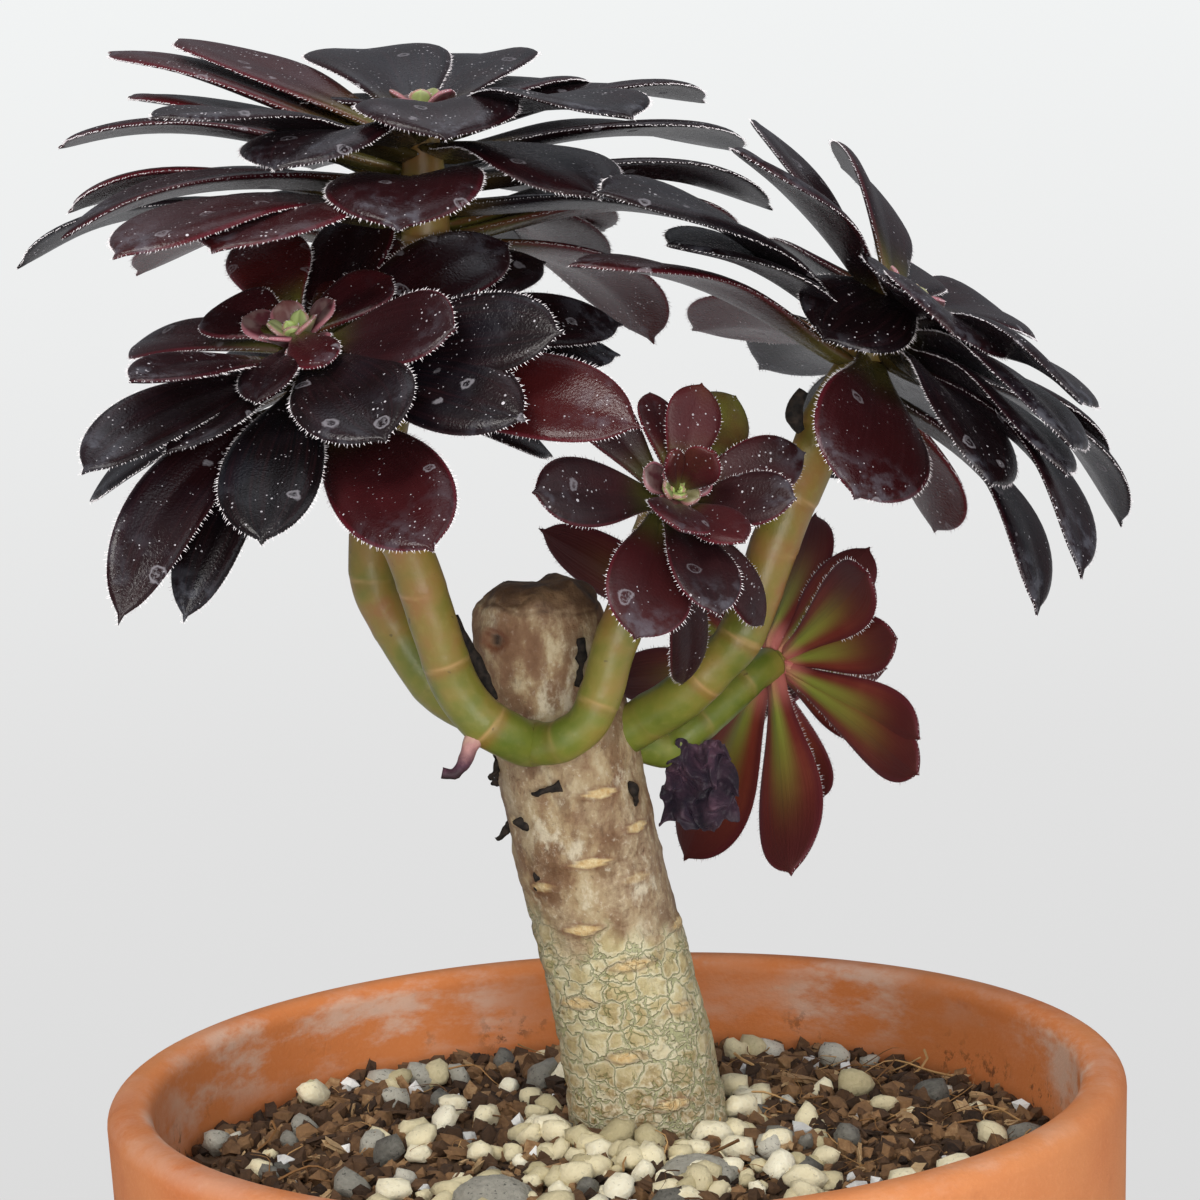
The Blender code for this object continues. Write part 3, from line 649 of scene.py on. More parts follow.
def leaf_under(settings, downy=False):
    """The same leaf from below: thinner colour, mauve to brown, duller. The
    downy kind is brick red with a green rib, its red partly its own and partly
    painted glow for light shining through the leaf."""
    material, tree, shader = new_material(
        "downy_leaf_underside" if downy else "leaf_underside", 0.50, 0.22,
        Sheen_Weight=0.03, Sheen_Roughness=0.5, Sheen_Tint=linear("#D8B8C0"))
    place = object_place(tree)
    grid = add_node(tree, 'ShaderNodeUVMap', output="UV", uv_map="UVMap")
    split = add_node(tree, 'ShaderNodeSeparateXYZ', {0: grid})
    tone = add_node(tree, 'ShaderNodeAttribute', output="Vector", attribute_name="tone")
    darkness = add_node(tree, 'ShaderNodeSeparateXYZ', {0: tone})
    broad = patches(tree, place, 12, 3.0)
    lined = patches(tree, add_node(tree, 'ShaderNodeMapping', {0: grid, 3: (1.5, 22.0, 1.0)}),
                    1000.0, 3.0)
    # Downy kind: brick red, partly its own colour and partly painted glow for light shining through the
    # leaf.
    stops = [(0.0, "#94482F"), (1.0, "#4A1C1C"), (0.3, "#7A3026"), (0.6, "#602420")] if downy \
        else [(0.0, "#8F4436"), (1.0, "#4A2024"), (0.3, "#7A3230"), (0.6, "#602A2B")]
    skin = add_node(tree, 'ShaderNodeValToRGB', {0: darkness}, stops=stops)
    skin = mixed(tree, times(tree, band(tree, broad, 0.35, 0.75), 0.45), skin,
                 linear("#8A4A36" if downy else "#63393A"))
    skin = mixed(tree, times(tree, band(tree, lined, 0.35, 0.75), 0.25), skin,
                 linear("#6A2A20" if downy else "#2A1416"))
    middle = add_node(tree, 'ShaderNodeMath', {0: split.node.outputs["Y"], 1: 0.5},
                      operation='SUBTRACT')
    middle = add_node(tree, 'ShaderNodeMath', {0: middle}, operation='ABSOLUTE')
    rib = times(tree, band(tree, middle, 0.34, 0.04), band(tree, split, 0.90, 0.15))
    skin = mixed(tree, times(tree, rib, 1.0 if downy else 0.8), skin,
                 linear("#7E8636" if downy else "#5F6030"))
    if downy:
        tip = band(tree, split, 0.42, 0.95)
        skin = mixed(tree, times(tree, tip, 0.85), skin, linear("#3E1518"))
        side = band(tree, middle, 0.36, 0.47)
        skin = mixed(tree, times(tree, side, 0.7), skin, linear("#521A22"))
    foot = band(tree, split, 0.24, 0.04)
    skin = mixed(tree, times(tree, foot, 0.7 if downy else 0.3), skin, linear("#C87870"))
    paint(tree, shader, skin)
    relief(tree, shader, lined, 0.15)
    return material


def leaf_margin(settings):
    """The thin edge of a leaf: translucent wine red, black on old leaves."""
    material, tree, shader = new_material("leaf_margin", 0.45, 0.5)
    tone = add_node(tree, 'ShaderNodeAttribute', output="Vector", attribute_name="tone")
    darkness = add_node(tree, 'ShaderNodeSeparateXYZ', {0: tone})
    skin = add_node(tree, 'ShaderNodeValToRGB', {0: darkness}, stops=[
        (0.0, "#A04656"), (1.0, "#1C0F13"), (0.4, "#6A1E2C"), (0.7, "#38141C")])
    paint(tree, shader, skin)
    return material


def leaf_hair(settings):
    """Glassy white hairs, so fine that they only read as a bright fringe."""
    material, tree, shader = new_material("leaf_hair", 0.55, 0.5)
    place = object_place(tree)
    paint(tree, shader, add_node(tree, 'ShaderNodeValToRGB', {0: patches(tree, place, 3)},
                                 stops=[(0.3, "#C9C0C4"), (0.7, "#F6F2F3")]))
    return material


def heart_skin(settings):
    """Young leaves: fresh green, flushed pink at the edges, satin."""
    material, tree, shader = new_material("young_leaf_skin", 0.42, 0.5)
    place = object_place(tree)
    grid = add_node(tree, 'ShaderNodeUVMap', output="UV", uv_map="UVMap")
    split = add_node(tree, 'ShaderNodeSeparateXYZ', {0: grid})
    tone = add_node(tree, 'ShaderNodeAttribute', output="Vector", attribute_name="tone")
    darkness = add_node(tree, 'ShaderNodeSeparateXYZ', {0: tone})
    skin = add_node(tree, 'ShaderNodeValToRGB', {0: darkness}, stops=[
        (0.0, "#BCD27A"), (1.0, "#30141A"), (0.22, "#94A066"), (0.42, "#5A2A30")])
    skin = mixed(tree, times(tree, band(tree, split, 0.42, 0.0), 0.9), skin, linear("#A9BE58"))
    edge = add_node(tree, 'ShaderNodeMath', {0: split.node.outputs["Y"], 1: 0.5},
                    operation='SUBTRACT')
    edge = add_node(tree, 'ShaderNodeMath', {0: edge}, operation='ABSOLUTE')
    skin = mixed(tree, times(tree, band(tree, edge, 0.36, 0.47), 0.7), skin, linear("#B5707C"))
    mottle = band(tree, patches(tree, place, 3), 0.4, 0.7)
    skin = mixed(tree, times(tree, mottle, 0.25), skin, linear("#B8A9A0"))
    paint(tree, shader, skin)
    return material


def stem_skin(settings):
    """Green succulent stem: smooth satin skin, green low down and olive to tan
    higher up, with rusty and pale corky lines where leaves stood."""
    material, tree, shader = new_material("succulent_stem", 0.40, 0.5)
    place = object_place(tree)
    height = add_node(tree, 'ShaderNodeSeparateXYZ', {0: place}, output="Z")
    broad = patches(tree, place, 11, 3.0)
    fine = patches(tree, place, 1.6, 5.0)
    raised = add_node(tree, 'ShaderNodeMath', {0: broad, 1: 0.034, 2: height},
                      operation='MULTIPLY_ADD')
    low = SOIL_MIDDLE.z + 0.017
    tan = band(tree, raised, low + 0.070, low + 0.108)
    green = add_node(tree, 'ShaderNodeValToRGB', {0: broad}, stops=[
        (0.35, "#5C6B22"), (0.65, "#878738"), (0.5, "#717A2C")])
    ripe = add_node(tree, 'ShaderNodeValToRGB', {0: broad}, stops=[
        (0.35, "#77702C"), (0.65, "#94683A"), (0.5, "#8C7436")])
    skin = mixed(tree, tan, green, ripe)
    skin = mixed(tree, times(tree, vertex_number(tree, "shoulder"), 0.55), skin,
                 linear("#93512A"))
    skin = mixed(tree, times(tree, band(tree, fine, 0.5, 0.75), 0.22), skin, linear("#9A9250"))
    skin = mixed(tree, vertex_number(tree, "scar"), skin, linear("#C29A66"))
    spots = band(tree, patches(tree, place, 2.2, 2.0), 0.72, 0.76)
    skin = mixed(tree, times(tree, spots, 0.6), skin, linear("#4B3A20"))
    paint(tree, shader, skin)
    relief(tree, shader, fine, 0.10)
    return material


def bark(settings):
    """Old succulent stem: papery grey-beige skin, blotched with tan and brown,
    smooth above and cracked into pale plates over green near the soil."""
    material, tree, shader = new_material("succulent_bark", 0.55, 0.4)
    place = object_place(tree)
    height = add_node(tree, 'ShaderNodeSeparateXYZ', {0: place}, output="Z")
    stretched = add_node(tree, 'ShaderNodeMapping', {0: place, 3: (1.0, 1.0, 0.6)})
    broad = patches(tree, stretched, 13, 3.0)
    middle = patches(tree, stretched, 5.0, 5.0, 0.62)
    fine = patches(tree, place, 1.1, 6.0, 0.7)
    skin = add_node(tree, 'ShaderNodeValToRGB', {0: middle}, stops=[
        (0.30, "#61442C"), (0.70, "#CFC1A0"), (0.42, "#8E6E50"), (0.54, "#B09873")])
    warm = add_node(tree, 'ShaderNodeValToRGB', {0: fine}, stops=[
        (0.30, "#6E4E38"), (0.70, "#D2BF9E")])
    skin = mixed(tree, times(tree, band(tree, broad, 0.42, 0.62), 0.60), skin, warm)
    brown = band(tree, patches(tree, stretched, 7.5, 4.0, 0.6), 0.52, 0.62)
    skin = mixed(tree, times(tree, brown, 0.70), skin, linear("#6E4C31"))
    pale = band(tree, patches(tree, stretched, 6.0, 5.0, 0.68), 0.56, 0.68)
    skin = mixed(tree, times(tree, pale, 0.75), skin, linear("#E0D5BA"))
    skin = mixed(tree, times(tree, band(tree, fine, 0.56, 0.70), 0.55), skin, linear("#D8CDB8"))
    skin = mixed(tree, times(tree, band(tree, fine, 0.40, 0.30), 0.5), skin, linear("#4E3A2C"))
    low = SOIL_MIDDLE.z
    base = add_node(tree, 'ShaderNodeMath', {0: broad, 1: 0.03, 2: height},
                    operation='MULTIPLY_ADD')
    lower = band(tree, base, low + 0.058, low + 0.050)
    plates = add_node(tree, 'ShaderNodeValToRGB', {0: middle}, stops=[
        (0.32, "#A08A58"), (0.68, "#E0DAB6"), (0.5, "#C4B888")])
    plates = mixed(tree, times(tree, band(tree, fine, 0.42, 0.66), 0.55), plates,
                   linear("#CBB98C"))
    skin = mixed(tree, times(tree, lower, 0.85), skin, plates)
    foot = band(tree, base, low + 0.034, low + 0.020)
    crust = add_node(tree, 'ShaderNodeValToRGB', {0: fine}, stops=[
        (0.35, "#7E5F3E"), (0.62, "#D6CBB4"), (0.5, "#A48D66")])
    skin = mixed(tree, times(tree, foot, 0.75), skin, crust)
    shift = patches(tree, place, 3.0, 3.0).node.outputs["Color"]
    warped = add_node(tree, 'ShaderNodeVectorMath', {0: shift, 1: (0.0034,) * 3, 2: place},
                      operation='MULTIPLY_ADD')
    flat = add_node(tree, 'ShaderNodeMapping', {0: warped, 3: (1.0, 1.0, 1.25)})
    wide = add_node(tree, 'ShaderNodeTexVoronoi', {"Vector": flat, "Scale": 1 / (4.6 * MM)},
                    feature='DISTANCE_TO_EDGE')
    small = add_node(tree, 'ShaderNodeTexVoronoi', {"Vector": flat, "Scale": 1 / (2.1 * MM)},
                     feature='DISTANCE_TO_EDGE')
    some = band(tree, patches(tree, place, 8, 2.0), 0.48, 0.56)
    gap = add_node(tree, 'ShaderNodeMath', {
        0: band(tree, wide, 0.050, 0.012), 1: times(tree, band(tree, small, 0.07, 0.02), some)},
        operation='MAXIMUM')
    crack = times(tree, gap, lower)
    rim = times(tree, band(tree, wide, 0.17, 0.07), lower, 0.45)
    skin = mixed(tree, rim, skin, linear("#E6E3C8"))
    upper = times(tree, band(tree, height, low + 0.078, low + 0.088), band(tree, middle, 0.62, 0.45))
    skin = mixed(tree, times(tree, upper, 0.65), skin, linear("#7B573C"))
    skin = mixed(tree, times(tree, crack, 0.50), skin, linear("#7C8A4C"))
    skin = mixed(tree, vertex_number(tree, "scar_edge"), skin, linear("#74462C"))
    scar = vertex_number(tree, "scar")
    cork = add_node(tree, 'ShaderNodeValToRGB', {0: fine}, stops=[
        (0.35, "#C79F62"), (0.65, "#E6D3A4")])
    skin = mixed(tree, scar, skin, cork)
    healed = add_node(tree, 'ShaderNodeValToRGB', {0: middle}, stops=[
        (0.30, "#33241A"), (0.70, "#8A6848"), (0.5, "#5F4530")])
    skin = mixed(tree, vertex_number(tree, "stub"), skin, healed)
    paint(tree, shader, skin)
    bumps = add_node(tree, 'ShaderNodeMath', {0: middle, 1: fine}, operation='ADD')
    bumps = add_node(tree, 'ShaderNodeMath', {0: crack, 1: -0.9, 2: bumps},
                     operation='MULTIPLY_ADD')
    relief(tree, shader, bumps, 0.40)
    return material


def black_scrap(settings):
    """Dead leaf stalks: shrivelled, nearly black, dull."""
    material, tree, shader = new_material("dead_leaf_stalk", 0.8, 0.3)
    fine = patches(tree, object_place(tree), 1.2)
    paint(tree, shader, add_node(tree, 'ShaderNodeValToRGB', {0: fine}, stops=[
        (0.35, "#14110F"), (0.75, "#3A3029")]))
    relief(tree, shader, fine, 0.3)
    return material


def dry_stalk(settings):
    """A withered leaf stalk: papery pink at its joint, black at its end."""
    return shaded("withered_stalk", 0.6, [(0.0, "#D9B49C"), (1.0, "#17120F"), (0.35, "#B58480"),
                                          (0.7, "#5A3A48")], 1.6, 0.25)


def dry_leaf(settings):
    """A dead leaf, crumpled and purple-black, with paler folds."""
    material, tree, shader = new_material("dead_leaf", 0.6, 0.4, Sheen_Weight=0.15,
                                          Sheen_Tint=linear("#A58FB0"))
    place = object_place(tree)
    broad = patches(tree, place, 5, 4.0)
    skin = add_node(tree, 'ShaderNodeValToRGB', {0: broad}, stops=[
        (0.35, "#1C1722"), (0.75, "#6C4C5C"), (0.55, "#3B2936")])
    paint(tree, shader, skin)
    relief(tree, shader, patches(tree, place, 1.4, 5.0), 0.5)
    return material


def terracotta(settings):
    """Fired clay, unglazed: orange, dry and open, with lime bloom near the
    rim and dark mould where the soil keeps it wet."""
    material, tree, shader = new_material("terracotta", 0.82, 0.35)
    place = object_place(tree)
    split = add_node(tree, 'ShaderNodeSeparateXYZ', {0: place}).node
    flat = add_node(tree, 'ShaderNodeCombineXYZ', {0: split.outputs["X"], 1: split.outputs["Y"]})
    centred = add_node(tree, 'ShaderNodeVectorMath', {0: flat, 1: tuple(POT_MIDDLE)},
                       operation='SUBTRACT')
    radius = add_node(tree, 'ShaderNodeVectorMath', {0: centred}, output="Value",
                      operation='LENGTH')
    height = split.outputs["Z"]
    rim = POT_HIGH.z
    inner = times(tree, band(tree, radius, POT_RADIUS - 4 * MM, POT_RADIUS - 7 * MM),
                  band(tree, height, rim - 0.034, rim - 0.030))
    broad = patches(tree, place, 40, 3.0)
    middle = patches(tree, place, 9, 5.0, 0.6)
    fine = patches(tree, place, 0.9, 4.0, 0.7)
    clay = mixed(tree, band(tree, broad, 0.35, 0.68), (*settings.clay, 1), linear("#C27140"))
    clay = mixed(tree, times(tree, inner, 0.75), clay, linear("#DB8246"))
    clay = mixed(tree, times(tree, band(tree, fine, 0.45, 0.75), 0.20), clay, linear("#E09A6C"))
    clay = mixed(tree, times(tree, band(tree, middle, 0.6, 0.75), 0.25), clay, linear("#9A4A28"))
    streak = add_node(tree, 'ShaderNodeMapping', {0: place, 3: (1.0, 1.0, 2.6)})
    lime = patches(tree, streak, 22, 6.0, 0.66)
    near_rim = times(tree, band(tree, height, rim - 0.019, rim - 0.009), inner)
    on_lip = band(tree, height, rim - 0.0035, rim - 0.0005)
    rim_bloom = add_node(tree, 'ShaderNodeMath', {0: near_rim, 1: times(tree, on_lip, 0.35)},
                         operation='MAXIMUM')
    side = band(tree, patches(tree, place, 60, 2.0), 0.32, 0.52)
    bloom = times(tree, rim_bloom, band(tree, lime, 0.42, 0.62), side)
    low_lime = times(tree, inner, band(tree, lime, 0.60, 0.72), 0.5)
    outer_lime = times(tree, band(tree, lime, 0.66, 0.78), 0.35)
    clay = mixed(tree, times(tree, bloom, 0.68), clay, (*settings.bloom, 1))
    clay = mixed(tree, low_lime, clay, linear("#CFAF98"))
    clay = mixed(tree, outer_lime, clay, linear("#D9B199"))
    mould = patches(tree, place, 3.4, 5.0, 0.7)
    wet = times(tree, inner, band(tree, height, rim - 0.007, rim - 0.017),
                band(tree, patches(tree, place, 26, 2.0), 0.50, 0.62))
    clay = mixed(tree, times(tree, wet, band(tree, mould, 0.53, 0.63), 0.85), clay,
                 linear("#3B241A"))
    damp = times(tree, inner, band(tree, height, rim - 0.015, rim - 0.0195))
    clay = mixed(tree, times(tree, damp, 0.55), clay, linear("#5E3420"))
    paint(tree, shader, clay)
    relief(tree, shader, add_node(tree, 'ShaderNodeMath', {0: fine, 1: middle},
                                  operation='ADD'), 0.16)
    return material


def shaded(name, comment_roughness, stops, grain, depth, speckle=None):
    """A material whose copies each have their own shade from a ramp."""
    material, tree, shader = new_material(name, comment_roughness, 0.35)
    place = object_place(tree)
    fine = patches(tree, place, grain, 5.0, 0.65)
    shade = vertex_number(tree, "shade")
    mixed_shade = add_node(tree, 'ShaderNodeMath', {0: fine, 1: 0.45, 2: -0.22},
                           operation='MULTIPLY_ADD')
    mixed_shade = add_node(tree, 'ShaderNodeMath', {0: mixed_shade, 1: shade}, operation='ADD')
    skin = add_node(tree, 'ShaderNodeValToRGB', {0: mixed_shade}, stops=stops)
    if speckle:
        size, colour, share = speckle
        spots = band(tree, patches(tree, place, size, 3.0, 0.7), 0.60, 0.66)
        skin = mixed(tree, times(tree, spots, share), skin, linear(colour))
    paint(tree, shader, skin)
    relief(tree, shader, fine, depth)
    return material


def soil_ground(settings):
    """Damp potting soil: dark brown crumbs with paler fibre."""
    return shaded("potting_soil", 0.9, [(0.0, "#2A1D14"), (1.0, "#A88662"), (0.5, "#5E4630")],
                  1.3, 0.8)


def bark_chip(settings):
    """Composted bark: brown chips, dry and fibrous."""
    return shaded("composted_bark", 0.85, [(0.0, "#241912"), (1.0, "#C2A47A"), (0.45, "#5A412C"),
                                           (0.75, "#8A6846")], 1.0, 0.4)


def pumice(settings):
    """Washed pumice: cream to buff pebbles, matt and pitted."""
    return shaded("pumice", 0.85, [(0.0, "#B5A983"), (1.0, "#FAF4DC"), (0.4, "#DACEA8"),
                                   (0.7, "#EBE0BC")], 0.9, 0.4, (0.8, "#8F8468", 0.35))


def perlite(settings):
    """Perlite: white popped glass, chalky."""
    return shaded("perlite", 0.8, [(0.0, "#C9C9C6"), (1.0, "#F7F7F4")], 0.6, 0.3)


def grit(settings):
    """Crushed granite: grey, with black and white crystals."""
    return shaded("granite_grit", 0.8, [(0.0, "#55534D"), (1.0, "#CBC7B8"), (0.5, "#98958A")],
                  1.0, 0.5, (0.7, "#2E2E2C", 0.75))


def fibre(settings):
    """Coir and dry roots: thin, wiry and straw brown."""
    return shaded("coir_fibre", 0.8, [(0.0, "#4B3220"), (1.0, "#C29C68"), (0.5, "#8A6238")],
                  1.5, 0.1)


# ---------------------------------------------------------------------- pot


def pot_profile():
    """Section of the pot as (radius, height) in mm, all the way round."""
    top = POT_HIGH.z / MM
    outer = POT_RADIUS / MM
    collar_low = top - COLLAR_HEIGHT
    under_collar = wall_radius(COLLAR_HEIGHT) + WALL
    floor_corner = FLOOR + WALL
    foot_inner = wall_radius(top - floor_corner)
    turns = [math.radians(10 * k) for k in range(10)]
    lip_outer = [(outer - LIP_ROUND * (1 - math.sin(a)), top - LIP_ROUND * (1 - math.cos(a)))
                 for a in turns]
    rim_inner = outer - LIP_THICKNESS
    lip_inner = [(rim_inner + LIP_ROUND * (1 - math.cos(a)), top - LIP_ROUND * (1 - math.sin(a)))
                 for a in turns]
    return lip_outer + [
        (outer - 0.3, top - 12), (outer - 0.7, top - 24),
        (outer - COLLAR_STEP / 3, collar_low + 1.2),
        (outer - COLLAR_STEP / 3 - 0.8, collar_low + 0.3),
        (under_collar + 0.8, collar_low - 0.9), (under_collar, collar_low - COLLAR_STEP / 2 - 0.6),
        (under_collar - 12, collar_low - 50), (foot_inner + WALL, FOOT_CHAMFER + 0.6),
        (foot_inner + WALL - 0.7, 1.6), (foot_inner + WALL - FOOT_CHAMFER, 0.0),
        (DRAIN_RADIUS + 0.6, 0.0), (DRAIN_RADIUS, 0.6), (DRAIN_RADIUS, FLOOR - 0.6),
        (DRAIN_RADIUS + 0.6, FLOOR),
        (foot_inner - WALL, FLOOR), (foot_inner, floor_corner),
        (wall_radius(COLLAR_HEIGHT), collar_low), (wall_radius(20), top - 20),
    ] + lip_inner


class SUCCULENT_OT_pot(bpy.types.Operator):
    """Turn the clay pot"""
    bl_idname = "succulent.pot"
    bl_label = "Clay pot"

    def execute(self, context):
        settings = context.scene.succulent_pot
        points = [(POT_MIDDLE.x + r * MM, POT_MIDDLE.y, z * MM) for r, z in pot_profile()]
        count = len(points)
        mesh = bpy.data.meshes.new("pot")
        mesh.from_pydata(points, [(i, (i + 1) % count) for i in range(count)], [])
        pot = bpy.data.objects.new("pot_shell", mesh)
        context.scene.collection.objects.link(pot)
        deselect()
        pot.select_set(True)
        context.view_layer.objects.active = pot
        bpy.ops.object.mode_set(mode='EDIT')
        bpy.ops.mesh.select_all(action='SELECT')
        bpy.ops.mesh.spin(steps=144, angle=math.tau, center=POT_MIDDLE, axis=(0, 0, 1))
        bpy.ops.mesh.select_all(action='SELECT')
        bpy.ops.mesh.remove_doubles(threshold=1e-5)
        bpy.ops.mesh.normals_make_consistent(inside=False)
        bpy.ops.object.mode_set(mode='OBJECT')
        bpy.ops.object.shade_smooth_by_angle(angle=math.radians(50))
        settle(pot, "clay_pot", [terracotta(settings)], ["pot"])
        return {'FINISHED'}


# --------------------------------------------------------------------- soil


def soil_height(x, y):
    """Height of the soil's surface in metres over a point in mm."""
    share = math.hypot(x, y) / wall_radius(SOIL_BELOW_RIM)
    lumps = 1.5 * fractal((x * MM, y * MM, 0.31), 14, 4) + 0.8 * fractal((x * MM, y * MM, 1.7), 4, 3)
    return SOIL_MIDDLE.z + (1.6 - SOIL_MOUND * share ** 1.6 + max(lumps, -0.9)) * MM


def clear_of_trunk(x, y, room):
    """Whether a place on the soil is that many mm outside the trunk."""
    (trunk_x, trunk_y, _), share = TRUNK_ROUTE[2]
    return math.hypot(x - trunk_x, y - trunk_y) > TRUNK_RADIUS * share + room


def lump(kind, rough, seed, stretch=(1, 1, 1)):
    """A small rough prototype, about 1 across."""
    draw = random.Random(seed)
    deselect()
    bpy.ops.mesh.primitive_ico_sphere_add(subdivisions=kind, radius=0.5)
    obj = bpy.context.object
    points = coordinates(obj.data)
    for i, point in enumerate(points):
        shift = noise.noise(Vector(point) * 3.1 + Vector((seed, 0, 0)))
        points[i] = point * (1 + rough * (shift * 1.6 + draw.uniform(-0.5, 0.5)))
    set_coordinates(obj.data, points * np.array(stretch))
    return read_shape(obj)


def chip_shape(seed):
    """A split chip of bark: a flat, tapered, uneven block."""
    draw = random.Random(seed)
    deselect()
    bpy.ops.mesh.primitive_cube_add(size=1)
    obj = bpy.context.object
    bpy.ops.object.mode_set(mode='EDIT')
    bpy.ops.mesh.subdivide(number_cuts=1)
    bpy.ops.object.mode_set(mode='OBJECT')
    points = coordinates(obj.data)
    for i, point in enumerate(points):
        points[i] = [point[0] * 1.0 + draw.uniform(-0.16, 0.16),
                     point[1] * 0.42 * (1 - 0.5 * abs(point[0])) + draw.uniform(-0.09, 0.09),
                     point[2] * 0.16 + 0.18 * math.sin(2 * point[0] + seed) * 0.5
                     + draw.uniform(-0.04, 0.04)]
    set_coordinates(obj.data, points)
    return read_shape(obj)


def strewn(draw, count, spread, room=2.0):
    """Places on the soil in mm. Spread turns a place into a chance 0..1."""
    reach = wall_radius(SOIL_BELOW_RIM) - room
    places = []
    while len(places) < count:
        angle = draw.uniform(0, math.tau)
        radius = reach * math.sqrt(draw.random())
        x, y = radius * math.cos(angle), radius * math.sin(angle)
        if clear_of_trunk(x, y, 0.5) and draw.random() < spread(x, y):
            places.append((x, y))
    return places


def laid(draw, place, size, tilt, sink):
    """Matrix of a copy that lies on the soil at a place, sunk by a share."""
    x, y = place
    turn = Matrix.Rotation(draw.uniform(0, math.tau), 4, 'Z')
    lean = Matrix.Rotation(math.radians(draw.gauss(0, tilt)), 4, 'X')
    tip = Matrix.Rotation(math.radians(draw.gauss(0, tilt)), 4, 'Y')
    at = Matrix.Translation((SOIL_MIDDLE.x + x * MM, SOIL_MIDDLE.y + y * MM,
                             soil_height(x, y) + size * (0.5 - sink) * MM))
    return at @ turn @ lean @ tip @ Matrix.Scale(size * MM, 4)


def near_front(x, y):
    """Pumice gathers in front of the trunk and thins out behind it."""
    (trunk_x, trunk_y, _), _share = TRUNK_ROUTE[2]
    heap = math.exp(-((x - trunk_x + 2) / 34) ** 2 - ((y - trunk_y + 38) / 24) ** 2)
    ring = math.exp(-((math.hypot(x - trunk_x, y - trunk_y) - 18) / 8) ** 2)
    return 0.06 + 0.94 * heap + 0.35 * ring


